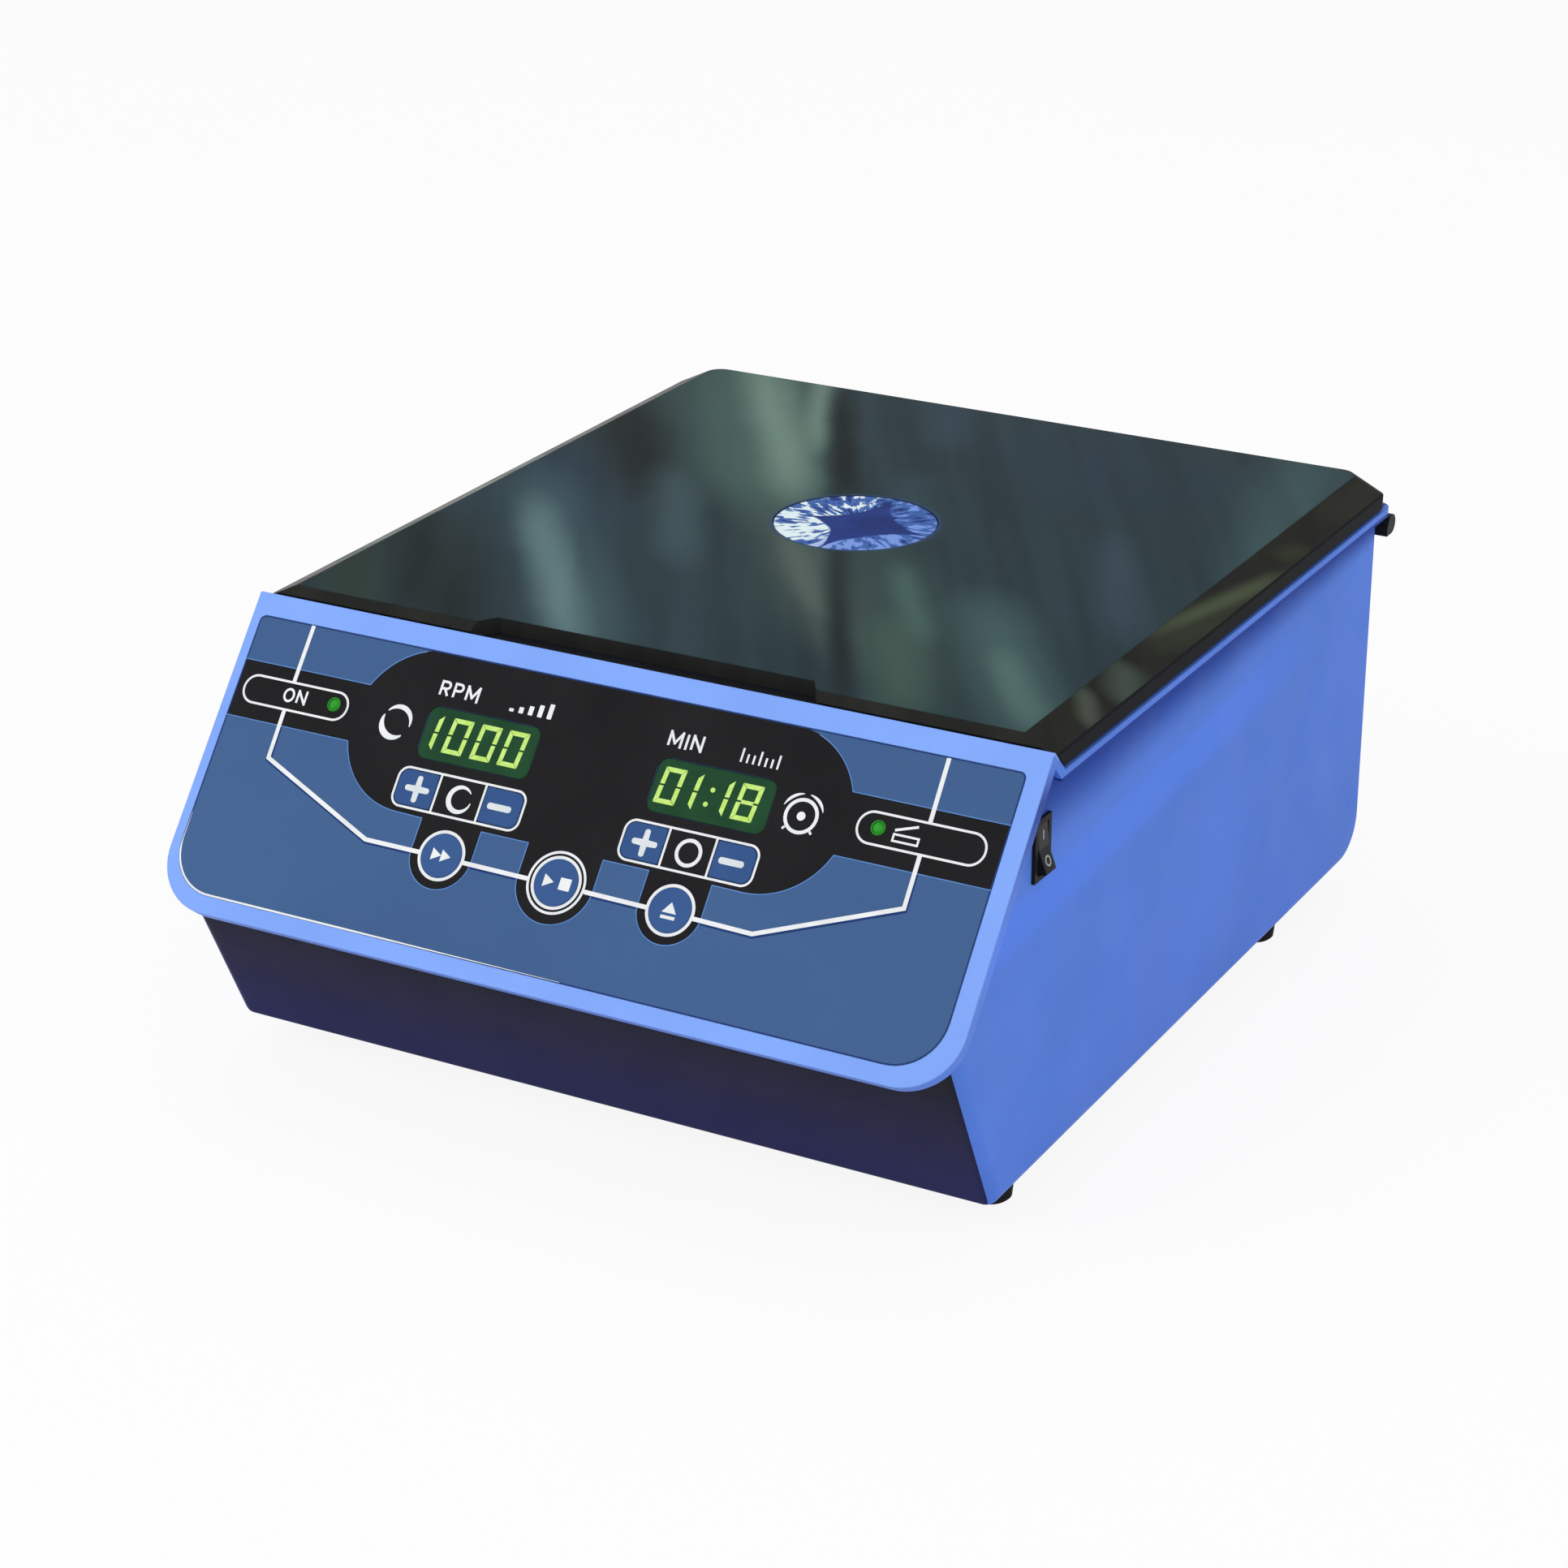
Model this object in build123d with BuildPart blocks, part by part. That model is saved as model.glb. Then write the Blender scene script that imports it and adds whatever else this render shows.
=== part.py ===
from build123d import *
import math
import os

os.makedirs("parts", exist_ok=True)

# Benchtop cytocentrifuge: a case with a sloping control panel, a hinged smoked lid with a
# round window, and a steel bowl in which a rotor carries six tilting slide holders.
#
# Frame: +X to the right as seen from the panel, +Y to the rear, +Z up. The origin lies on the
# table under the middle of the whole object. Sizes are in millimetres and degrees.

# ---- case ----
case_width = 373.0        # across the side walls
case_depth = 368.8        # from the panel's top edge back to the rear wall
case_height = 187.2       # from the underside up to the panel's top edge
deck_drop = 11.2          # deck under the lid, below the panel's top edge
wall = 3.5
toe_reach = 36.3          # the foot of the undercut front lies this far ahead of the top edge
undercut_slope = 64.0     # the undercut front leans forward this far above level
heel_radius = 22.0        # lower rear edge
toe_radius = 3.0          # lower front edge
wall_corner = 6.0         # upright rear corners
ridge_slope = 46.7        # fall of the ridge from the panel's top edge to the deck
rim_thickness = 4.5       # deck and the rim round it
rim_overhang = 3.5        # rim beyond the side walls
ledge_overhang = 8.0      # rim beyond the rear wall
rim_corner = 7.0
collar_width = 3.0        # collar under the deck, round the bowl's opening
collar_depth = 10.0
slot_corner = 2.0

# ---- control panel ----
panel_slope = 51.1
panel_length = 144.0
bezel_thickness = 6.0
bezel_overhang = 3.5      # bezel beyond each side wall
bezel_corner = 26.0       # lower corners
bezel_edge = 0.8          # rounding along the top edge
bezel_floor = 2.5         # moulded web under the overlay
bezel_rim_depth = 1.0     # overlay's recess
overlay_left = 4.5        # bezel showing left of the overlay
overlay_right = 8.5
overlay_top = 10.5
overlay_bottom = 8.0
overlay_corner_top = 3.0
overlay_corner_bottom = 22.0
overlay_clearance = 0.15

# ---- keys, displays and lamps on the panel (across, down the slope) ----
key_travel = 0.6
key_proud = 0.5
key_clearance = 0.3
key_flange = 1.2          # the key's flange stands this far past its hole
key_flange_thickness = 1.2
key_stem = 3.0
key_stem_radius = 2.5
key_edge = 0.35
pad_width = 18.4          # rectangular plus and minus keys
pad_length = 15.4
pad_corner_outer = 4.0
pad_corner_inner = 1.0
speed_up_at = (-82.3, 70.7)
speed_down_at = (-40.0, 70.7)
time_up_at = (28.6, 71.5)
time_down_at = (70.6, 71.5)
short_spin_at = (-60.0, 96.0)
start_stop_at = (-4.0, 96.0)
lid_open_at = (50.0, 96.3)
round_key_radius = 9.6
start_key_radius = 10.1
display_width = 54.5
display_length = 23.0
display_corner = 3.0
display_sink = 0.3        # lens below the overlay's face
speed_display_at = (-60.75, 45.5)
time_display_at = (51.55, 46.5)
run_lamp_at = (-135.0, 42.8)
lid_lamp_at = (127.0, 44.7)
lamp_radius = 2.6
lamp_edge = 1.0

# ---- control board behind the panel ----
board_width = 290.0
board_length = 92.0
board_middle = 68.0       # down the slope
board_thickness = 1.6
switch_body = 6.0
switch_body_height = 3.5
plunger_radius = 1.75
plunger_height = 0.5
plunger_gap = 0.15        # left between key and plunger when the key is pressed home
module_inset = 2.0        # display module inside its lens
board_post_radius = 4.0
board_post_hole = 1.6
board_post_inset_x = 7.0
board_post_inset_y = 6.0
opening_margin = 6.0      # opening in the case round the board
chip_height = 2.0
header_height = 7.0

# ---- lid ----
lid_overhang = 3.0        # lid beyond the case's side walls
lid_bevel = 15.1          # side bevels, across
lid_bevel_drop = 7.4      # side bevels, down
lid_rise = 3.9            # top above the panel's top edge
lid_gap = 1.5             # skirt above the rim
lid_ridge_gap = 1.0
lid_wall = 3.0
lid_rear_lap = 2.0        # lid's rear face behind the rear wall's plane
lid_front_lip = 4.85      # front edge of the top, behind the panel's top edge
lid_front_nose = 1.5      # foremost point, behind the panel's top edge
lid_corner = 8.0
grip_width = 160.0        # finger recess in the front edge
grip_rear = 13.0          # recess, back from the panel's top edge
grip_depth = 7.4
grip_end = 4.0
window_radius = 37.5
window_thickness = 2.8
window_clearance = 0.2
window_edge = 0.4
window_ring_lap = 4.0
window_ring_thickness = 1.6
liner_thickness = 2.0
liner_drop = 3.5          # liner's underside above the deck
liner_margin = 16.0       # inside the lid's walls
liner_boss_radius = 5.0
liner_boss_inset = 12.0
liner_corner = 12.0
liner_hole_margin = 3.0   # liner's hole round the window
liner_front_gap = 3.0
liner_rear_gap = 6.0
gasket_gap = 0.3
gasket_width = 7.0
gasket_inset = 1.0        # inside the bowl flange's rim
gasket_edge = 0.8

# ---- hinges ----
hinge_radius = 4.75
hinge_overhang = 8.2      # hinge axis behind the rear wall
hinge_drop = 10.0         # hinge axis below the deck
hinge_pin_radius = 2.5
hinge_fit = 0.05
hinge_length = 38.0
knuckle_length = 10.0
knuckle_gap = 0.3
hinge_leaf = 2.5
hinge_leaf_margin = 7.1   # arm's upper edge below the lid's top
bracket_height = 24.0
bracket_rise = 4.0        # bracket's top above the hinge axis

# ---- bowl ----
rotor_setback = 193.5     # rotor axis behind the panel's top edge
bowl_radius = 147.6       # middle of the sheet
bowl_sheet = 1.2
bowl_floor = 70.0         # above the underside
bowl_boss_rise = 5.0
bowl_boss_radius = 34.0
bowl_hole_radius = 16.0
bowl_flange_width = 10.4  # flange beyond the wall's middle
bowl_corner = 14.0
bowl_clearance = 0.5      # bowl's wall in the deck's opening

# ---- motor ----
motor_radius = 41.0
motor_flange_radius = 54.0
motor_bottom = 6.0
motor_top = 60.0
motor_nose_radius = 13.0
motor_nose_height = 4.0
motor_flange_thickness = 4.0
motor_seat_gap = 0.5
motor_plate_size = 150.0
motor_plate_thickness = 4.0
motor_plate_corner = 12.0
damper_radius = 9.0
damper_height = 20.0
damper_pitch = 120.0
shaft_radius = 6.0
shaft_fit = 0.05
shaft_edge = 1.0
shaft_bottom = 30.0
shaft_stub = 8.0          # shaft above the hub
boot_gap = 4.0            # boot clear of the motor's nose
boot_fold = 5.0
boot_ledge = 7.0
boot_sheet = 1.0

# ---- rotor ----
holder_count = 6
hub_radius = 18.0
hub_gap = 2.4             # hub above the bowl's boss
disc_rise = 6.0           # disc above the hub's foot
disc_thickness = 4.0
disc_gap = 16.6           # disc's rim inside the bowl's wall
hub_height = 26.0
hub_taper = 6.0
nut_radius = 17.0
nut_height = 17.0
nut_edge = 1.2
nut_grips = 8
nut_grip_radius = 4.0
nut_grip_reach = 2.0      # middle of a grip scoop outside the nut
lip_width = 2.5
lip_height = 5.0
rest_width = 5.0          # ring that the holders lean against
rib_width = 4.0
rib_depth = 4.0
disc_hole_radius = 17.0
pivot_inset = 13.0        # pivots inside the disc's rim
pivot_rise = 19.0         # pivots above the disc
holder_lean = 15.0        # tops lean inwards at rest, and swing upright when the rotor turns
stop_gap = 0.3

# ---- slide holders ----
slide_width = 26.0
slide_length = 76.0
slide_thickness = 1.0
slide_bottom = -12.0      # below the pivot
clip_sheet = 1.2
clip_side_gap = 0.3
clip_height = 72.0
clip_side_height = 44.0
clip_corner = 5.0
clip_lip = 2.0
clip_reach = 4.0          # folded sides, inwards from the pivot
clip_window_width = 14.0
clip_window_height = 22.0
tab_thickness = 1.2
tab_reach = 2.8
tab_low = 18.0
tab_high = 28.0
trunnion_radius = 2.0
trunnion_fit = 0.05
trunnion_length = 4.4
ear_thickness = 3.5
ear_gap = 0.5
ear_top = 14.0
ear_foot_reach = 7.0
ear_top_reach = 4.0
stop_low = 4.0            # stop bar's lower edge above the pivot
stop_bar = 3.0
yoke_base = 2.0
card_thickness = 0.6
card_gap = 0.05
card_margin = 0.5
chamber_plate = 2.0
chamber_plate_length = 50.0
chamber_plate_margin = 0.3
chamber_plate_rear = 0.5  # plate's inner face, inwards from the pivot
well_reach = 20.0         # middle of the well, inside the plate
well_base_radius = 7.5
well_top_radius = 12.0
well_height = 46.0
well_wall = 1.5
port_radius = 3.5
port_height = 4.0
port_lift = 1.0           # port's lowest line above the well's floor

# ---- latch ----
striker_setback = 23.0    # behind the panel's top edge
striker_thickness = 4.0
striker_width = 14.0
striker_reach = 28.0      # below the deck
striker_eye = 10.0
striker_eye_wall = 4.0
striker_plate = 2.0
striker_plate_width = 30.0
slot_clearance = 5.0
bolt_radius = 4.0
bolt_clearance = 2.0      # bolt's tip clear of the striker when drawn back
bolt_fit = 0.1
bolt_point = 1.5
bolt_tail_gap = 3.0
latch_sheet = 2.5
latch_length = 32.0
latch_depth = 38.0
latch_inner = 10.5
latch_flange = 16.0
solenoid_length = 34.0
solenoid_size = 22.0
solenoid_end = 2.0

# ---- feet and base ----
foot_height = 14.0
foot_radius = 11.0
foot_taper = 1.5
foot_edge = 1.0
foot_inset = 18.5         # feet, in from the side walls
foot_front = 4.0          # ahead of the panel's top edge
foot_rear_inset = 87.6    # ahead of the rear wall
base_thickness = 1.5
base_lap = 7.0            # base plate's edge on the case's ledge
base_gap = 0.3
base_corner = 5.0
base_side_gap = 0.5       # base plate's recess, inside the walls
base_front_gap = 2.0
base_vents = 9
base_vent_pitch = 12.0
base_vent_length = 44.0
base_vent_width = 4.0
base_vent_across = 100.0

# ---- power switch, inlet and power board ----
switch_width = 14.5
switch_length = 26.5
switch_flange = 1.6
switch_lap = 1.25         # flange past the cut-out, on each side
cutout_clearance = 0.15
switch_setback = -4.0     # middle, behind the panel's top edge
switch_drop = 39.95       # middle, below the panel's top edge
switch_depth = 20.0
switch_pocket = 8.0
rocker_width = 8.8
rocker_length = 21.0
rocker_swing = 24.0       # full swing from off to on
rocker_clearance = 0.3
rocker_crown = 3.4
rocker_valley = 1.8
rocker_root = 5.0
rocker_pin_radius = 1.2
rocker_pin_reach = 1.0
rocker_pin_gap = 0.1
rocker_end_inset = 0.3
rocker_side_inset = 0.1
inlet_across = 110.0
inlet_level = 52.0
inlet_width = 28.0
inlet_height = 21.0
inlet_depth = 24.0
inlet_flange = 2.0
inlet_flange_lap = 3.0
inlet_corner = 3.0
inlet_gap = 0.2
inlet_socket_width = 24.4
inlet_socket_height = 16.4
inlet_socket_depth = 17.0
inlet_socket_bevel = 4.0
blade_spacing = 7.0
blade_drop = 2.0
blade_length = 14.0
blade_width = 2.0
blade_height = 4.0
power_board_width = 74.0
power_board_length = 112.0
power_board_margin = 8.0  # inside the side wall
power_board_gap = 3.8     # ahead of the inlet
power_post_height = 8.0
power_post_radius = 3.0
power_post_inset = 6.0
transformer_size = (42.0, 36.0, 26.0)
transformer_at = (10.0, -28.0)
capacitor_radius = 9.0
capacitor_height = 20.0
capacitor_at = [(-22.0, 24.0), (0.0, 24.0)]
vent_count = 12
vent_pitch = 8.0
vent_length = 34.0
vent_width = 3.2
vent_level = 60.0
vent_across = -70.0

# ---- places worked out from the sizes above ----
slope = math.radians(panel_slope)
panel_run = panel_length * math.cos(slope)
rear_reach = case_depth + hinge_overhang + hinge_radius
edge_y = (panel_run - rear_reach) / 2
rear_y = edge_y + case_depth
rotor_y = edge_y + rotor_setback
under_z = foot_height
crest_z = under_z + case_height
deck_z = crest_z - deck_drop
deck_under_z = deck_z - rim_thickness
lid_top_z = crest_z + lid_rise
lid_foot_z = deck_z + lid_gap
half_case = case_width / 2
lid_width = case_width + 2 * lid_overhang
lid_top_width = lid_width - 2 * lid_bevel
bezel_width = case_width + 2 * bezel_overhang
bowl_flange = bowl_radius + bowl_flange_width
disc_radius = bowl_radius - disc_gap
pivot_radius = disc_radius - pivot_inset

panel = Plane(origin=(0, edge_y, crest_z), x_dir=(1, 0, 0), z_dir=(0, -math.sin(slope), math.cos(slope)))
rotor_side = Plane(origin=(0, rotor_y, 0), x_dir=(1, 0, 0), z_dir=(0, -1, 0))
rotor_axis = Axis((0, rotor_y, 0), (0, 0, 1))


def meet(p, p_angle, q, q_angle):
    """The point where a line through p meets a line through q, with angles above level."""
    p_run, p_rise = math.cos(math.radians(p_angle)), math.sin(math.radians(p_angle))
    q_run, q_rise = math.cos(math.radians(q_angle)), math.sin(math.radians(q_angle))
    along = ((q[0] - p[0]) * q_rise - (q[1] - p[1]) * q_run) / (p_run * q_rise - p_rise * q_run)
    return (p[0] + along * p_run, p[1] + along * p_rise)


def on_panel(place):
    """Sketch coordinates on the panel of a place given across and down the slope."""
    return (place[0], -place[1])


# corners of the side profile, as (y, z)
crest = (edge_y, crest_z)
bezel_back = (edge_y + bezel_thickness * math.sin(slope), crest_z - bezel_thickness * math.cos(slope))
toe = (edge_y - toe_reach, under_z)
chin = meet(toe, 180 - undercut_slope, bezel_back, panel_slope)
brow = meet(crest, -ridge_slope, bezel_back, panel_slope)
ridge_fall = math.tan(math.radians(ridge_slope))
ridge_foot = (edge_y + (crest_z - deck_z) / ridge_fall, deck_z)
ledge_y = rear_y + ledge_overhang


# ---- housing shell: undercut front, sloping panel seat, deck with its rim ----
rim_drop = rim_thickness / math.cos(math.radians(ridge_slope))
ridge_under = (crest[0], crest[1] - rim_drop)
brow_under = meet(ridge_under, -ridge_slope, bezel_back, panel_slope)
foot_under = meet(ridge_under, -ridge_slope, (rear_y, deck_under_z), 0)
deck_opening = bowl_radius + bowl_sheet / 2 + bowl_clearance
panel_opening_width = board_width + 2 * opening_margin
panel_opening_length = board_length + 2 * opening_margin
base_width = case_width - 2 * (wall + base_side_gap)
base_front_y = toe[0] + wall + base_front_gap
base_rear_y = rear_y - heel_radius
base_middle_y = (base_front_y + base_rear_y) / 2
base_length = base_rear_y - base_front_y
striker_y = edge_y + striker_setback
slot_width = striker_thickness + 2 * slot_clearance
slot_length = striker_width + slot_clearance
switch_y = edge_y + switch_setback
switch_z = crest_z - switch_drop
switch_body_width = switch_width - 2 * switch_lap
switch_body_length = switch_length - 2 * switch_lap

with BuildPart() as housing:
    with BuildSketch(Plane.YZ) as case_side:
        with BuildLine():
            Polyline(toe, chin, brow, ridge_foot, (rear_y, deck_z), (rear_y, under_z), close=True)
        make_face()
        fillet(case_side.vertices().group_by(Axis.Y)[0].sort_by(Axis.X)[-1], radius=heel_radius)
        fillet(case_side.vertices().group_by(Axis.Y)[0].sort_by(Axis.X)[0], radius=toe_radius)
    extrude(amount=half_case, both=True)
    fillet(housing.edges().filter_by(Axis.Z).group_by(Axis.Y)[-1], radius=wall_corner)
    with BuildSketch(Plane.YZ) as cavity_side:
        add(case_side.sketch_local)
        offset(amount=-wall, mode=Mode.REPLACE)
    extrude(amount=half_case - wall, both=True, mode=Mode.SUBTRACT)
    with BuildSketch(Plane.YZ) as rim_side:
        with BuildLine():
            Polyline(
                brow, ridge_foot, (ledge_y, deck_z), (ledge_y, deck_under_z), foot_under, brow_under,
                close=True,
            )
        make_face()
    extrude(amount=half_case + rim_overhang, both=True)
    fillet(housing.edges().filter_by(Axis.Z).group_by(Axis.Y)[-1], radius=rim_corner)
    # a collar under the deck stiffens the bowl's opening
    with BuildSketch(Plane.XY.offset(deck_under_z)):
        with Locations((0, rotor_y)):
            Circle(deck_opening + collar_width)
    extrude(amount=-collar_depth)
    with BuildSketch(Plane.XY.offset(deck_z)):
        with Locations((0, rotor_y)):
            Circle(deck_opening)
        with Locations((0, striker_y)):
            RectangleRounded(slot_width, slot_length, slot_corner)
    extrude(amount=-(rim_thickness + collar_depth), mode=Mode.SUBTRACT)
    # opening behind the bezel, for the control board
    with BuildSketch(panel.offset(-bezel_thickness)):
        with Locations((0, -board_middle)):
            RectangleRounded(panel_opening_width, panel_opening_length, opening_margin)
    extrude(amount=-2 * wall, mode=Mode.SUBTRACT)
    # underside: a recess for the base plate, and the open bottom inside its ledge
    with BuildSketch(Plane.XY.offset(under_z)):
        with Locations((0, base_middle_y)):
            RectangleRounded(base_width, base_length, base_corner)
    extrude(amount=base_thickness, mode=Mode.SUBTRACT)
    with BuildSketch(Plane.XY.offset(under_z)):
        with Locations((0, base_middle_y)):
            RectangleRounded(base_width - 2 * base_lap, base_length - 2 * base_lap, base_corner)
    extrude(amount=2 * wall, mode=Mode.SUBTRACT)
    # side wall: power switch
    with BuildSketch(Plane.YZ.offset(half_case)):
        with Locations((switch_y, switch_z)):
            Rectangle(switch_body_width + 2 * cutout_clearance, switch_body_length + 2 * cutout_clearance)
    extrude(amount=-2 * wall, mode=Mode.SUBTRACT)
    # rear wall: inlet and vent slots
    with BuildSketch(Plane.XZ.offset(-rear_y)):
        with Locations((inlet_across, under_z + inlet_level)):
            RectangleRounded(inlet_width, inlet_height, inlet_corner)
        with Locations((vent_across, under_z + vent_level)):
            with GridLocations(vent_pitch, vent_length, vent_count, 1):
                Rectangle(vent_width, vent_length)
    extrude(amount=2 * wall, mode=Mode.SUBTRACT)

housing.part.label = "housing_shell"
export_step(housing.part, "parts/housing_shell.step")

# ---- front bezel: moulded panel frame, with holes for keys, displays and lamps ----
pads = {
    "speed_up_key": (speed_up_at, -1),
    "speed_down_key": (speed_down_at, 1),
    "time_up_key": (time_up_at, -1),
    "time_down_key": (time_down_at, 1),
}
round_keys = {
    "short_spin_key": (short_spin_at, round_key_radius),
    "start_stop_key": (start_stop_at, start_key_radius),
    "lid_open_key": (lid_open_at, round_key_radius),
}
displays = {"speed_display": speed_display_at, "time_display": time_display_at}
lamps = [run_lamp_at, lid_lamp_at]


overlay_width = bezel_width - overlay_left - overlay_right
overlay_length = panel_length - overlay_top - overlay_bottom


def pad_outline(side, grow):
    """A plus or minus key's outline, with its large corners on the given side (-1 left, 1 right)."""
    with BuildSketch() as outline:
        Rectangle(pad_width + 2 * grow, pad_length + 2 * grow)
        sides = outline.vertices().group_by(Axis.X)
        fillet(sides[0 if side < 0 else -1], radius=pad_corner_outer + grow)
        fillet(outline.vertices().group_by(Axis.X)[-1 if side < 0 else 0], radius=pad_corner_inner)
    return outline.sketch


def panel_holes(grow):
    """Outlines of all keys, displays and lamps, each grown by the same clearance."""
    with BuildSketch() as holes:
        for place, side in pads.values():
            with Locations(on_panel(place)):
                add(pad_outline(side, grow))
        for place, radius in round_keys.values():
            with Locations(on_panel(place)):
                Circle(radius + grow)
        for place in displays.values():
            with Locations(on_panel(place)):
                RectangleRounded(display_width + 2 * grow, display_length + 2 * grow, display_corner)
        for place in lamps:
            with Locations(on_panel(place)):
                Circle(lamp_radius + grow)
    return holes.sketch


def overlay_outline(grow):
    """The overlay's outline, with small corners above and large ones below."""
    with BuildSketch() as outline:
        with Locations(((overlay_left - overlay_right) / 2, -(overlay_top + overlay_length / 2))):
            Rectangle(overlay_width + 2 * grow, overlay_length + 2 * grow)
        fillet(outline.vertices().group_by(Axis.Y)[-1], radius=overlay_corner_top)
        fillet(outline.vertices().group_by(Axis.Y)[0], radius=overlay_corner_bottom)
    return outline.sketch


# layers behind the panel's face, each measured from it
web_under = bezel_rim_depth + bezel_floor
flange_top = web_under + stop_gap
flange_bottom = flange_top + key_flange_thickness
stem_bottom = flange_bottom + key_stem
board_depth = stem_bottom + key_travel + plunger_gap + plunger_height + switch_body_height
board_post_across = board_width - 2 * board_post_inset_x
board_post_length = board_length - 2 * board_post_inset_y
ridge_cut = Plane(origin=(0, edge_y, crest_z), x_dir=(1, 0, 0), z_dir=(0, ridge_fall, 1))

with BuildPart() as bezel:
    with BuildSketch(panel) as bezel_face:
        with Locations((0, -panel_length / 2)):
            Rectangle(bezel_width, panel_length)
        fillet(bezel_face.vertices().group_by(Axis.Y)[0], radius=bezel_corner)
    extrude(amount=-bezel_thickness)
    # overlay's recess in front, hollow back behind the web
    with BuildSketch(panel):
        add(overlay_outline(overlay_clearance))
    extrude(amount=-bezel_rim_depth, mode=Mode.SUBTRACT)
    with BuildSketch(panel.offset(-bezel_thickness)):
        with Locations((0, -board_middle)):
            RectangleRounded(panel_opening_width, panel_opening_length, opening_margin)
    extrude(amount=bezel_thickness - web_under, mode=Mode.SUBTRACT)
    with BuildSketch(panel):
        add(panel_holes(key_clearance))
    extrude(amount=-bezel_thickness, mode=Mode.SUBTRACT)
    # posts for the control board
    with BuildSketch(panel.offset(-web_under)):
        with Locations((0, -board_middle)):
            with GridLocations(board_post_across, board_post_length, 2, 2):
                Circle(board_post_radius)
    extrude(amount=-(board_depth - web_under))
    split(bisect_by=ridge_cut, keep=Keep.BOTTOM)
    fillet(bezel.edges().filter_by(Axis.X).sort_by(Axis.Z)[-1], radius=bezel_edge)

bezel.part.label = "front_bezel"
export_step(bezel.part, "parts/front_bezel.step")

# ---- panel overlay: printed plate in the bezel's recess ----
with BuildPart() as overlay:
    with BuildSketch(panel):
        add(overlay_outline(0))
        add(panel_holes(key_clearance), mode=Mode.SUBTRACT)
    extrude(amount=-bezel_rim_depth)

overlay.part.label = "panel_overlay"
export_step(overlay.part, "parts/panel_overlay.step")

# ---- keys: cap in the overlay, flange under the web, stem towards its switch ----

for name, (place, side) in pads.items():
    with BuildPart() as pad_key:
        with BuildSketch(panel.offset(-flange_top)):
            with Locations(on_panel(place)):
                add(pad_outline(side, 0))
        extrude(amount=flange_top + key_proud)
        chamfer(pad_key.faces().sort_by(Axis(panel.origin, panel.z_dir))[-1].edges(), length=key_edge)
        with BuildSketch(panel.offset(-flange_bottom)):
            with Locations(on_panel(place)):
                add(pad_outline(side, key_flange))
        extrude(amount=key_flange_thickness)
        with BuildSketch(panel.offset(-stem_bottom)):
            with Locations(on_panel(place)):
                Circle(key_stem_radius)
        extrude(amount=stem_bottom - flange_bottom)
    pad_key.part.label = name
    export_step(pad_key.part, f"parts/{name}.step")

for name, (place, radius) in round_keys.items():
    with BuildPart() as round_key:
        with BuildSketch(panel.offset(-flange_top)):
            with Locations(on_panel(place)):
                Circle(radius)
        extrude(amount=flange_top + key_proud)
        chamfer(round_key.faces().sort_by(Axis(panel.origin, panel.z_dir))[-1].edges(), length=key_edge)
        with BuildSketch(panel.offset(-flange_bottom)):
            with Locations(on_panel(place)):
                Circle(radius + key_flange)
        extrude(amount=key_flange_thickness)
        with BuildSketch(panel.offset(-stem_bottom)):
            with Locations(on_panel(place)):
                Circle(key_stem_radius)
        extrude(amount=stem_bottom - flange_bottom)
    round_key.part.label = name
    export_step(round_key.part, f"parts/{name}.step")

# ---- displays, lamps, control board and its switches ----
for name, place in displays.items():
    with BuildPart() as display:
        with BuildSketch(panel.offset(-web_under)):
            with Locations(on_panel(place)):
                RectangleRounded(display_width, display_length, display_corner - key_clearance)
        extrude(amount=web_under - display_sink)
        with BuildSketch(panel.offset(-board_depth)):
            with Locations(on_panel(place)):
                Rectangle(display_width - 2 * module_inset, display_length - 2 * module_inset)
        extrude(amount=board_depth - web_under)
    display.part.label = name
    export_step(display.part, f"parts/{name}.step")

with BuildPart() as status_lamps:
    with BuildSketch(panel.offset(-board_depth)):
        with Locations(*[on_panel(place) for place in lamps]):
            Circle(lamp_radius)
    extrude(amount=board_depth + key_proud)
    chamfer(status_lamps.edges().group_by(Axis(panel.origin, panel.z_dir))[-1], length=lamp_edge)

status_lamps.part.label = "status_lamps"
export_step(status_lamps.part, "parts/status_lamps.step")

key_places = [place for place, _ in [*pads.values(), *round_keys.values()]]

with BuildPart() as tact_switches:
    with BuildSketch(panel.offset(-board_depth)):
        with Locations(*[on_panel(place) for place in key_places]):
            Rectangle(switch_body, switch_body)
    extrude(amount=switch_body_height)
    with BuildSketch(panel.offset(-(board_depth - switch_body_height))):
        with Locations(*[on_panel(place) for place in key_places]):
            Circle(plunger_radius)
    extrude(amount=plunger_height)

tact_switches.part.label = "tact_switches"
export_step(tact_switches.part, "parts/tact_switches.step")

with BuildPart() as control_board:
    with BuildSketch(panel.offset(-board_depth)):
        with Locations((0, -board_middle)):
            Rectangle(board_width, board_length)
            with GridLocations(board_post_across, board_post_length, 2, 2):
                Circle(board_post_hole, mode=Mode.SUBTRACT)
    extrude(amount=-board_thickness)
    # processor, driver chips and the cable header on the back
    with BuildSketch(panel.offset(-(board_depth + board_thickness))):
        with Locations((0, -board_middle)):
            Rectangle(16, 16)
            with Locations((-50, 0), (50, 0)):
                Rectangle(20, 8)
    extrude(amount=-chip_height)
    with BuildSketch(panel.offset(-(board_depth + board_thickness))):
        with Locations((0, -(board_middle + 30))):
            Rectangle(40, 8)
    extrude(amount=-header_height)

control_board.part.label = "control_board"
export_step(control_board.part, "parts/control_board.step")

# ---- base plate and feet ----
foot_x = half_case - foot_inset
foot_rows = (edge_y - foot_front, rear_y - foot_rear_inset)
foot_places = [(side * foot_x, row) for side in (-1, 1) for row in foot_rows]

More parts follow.
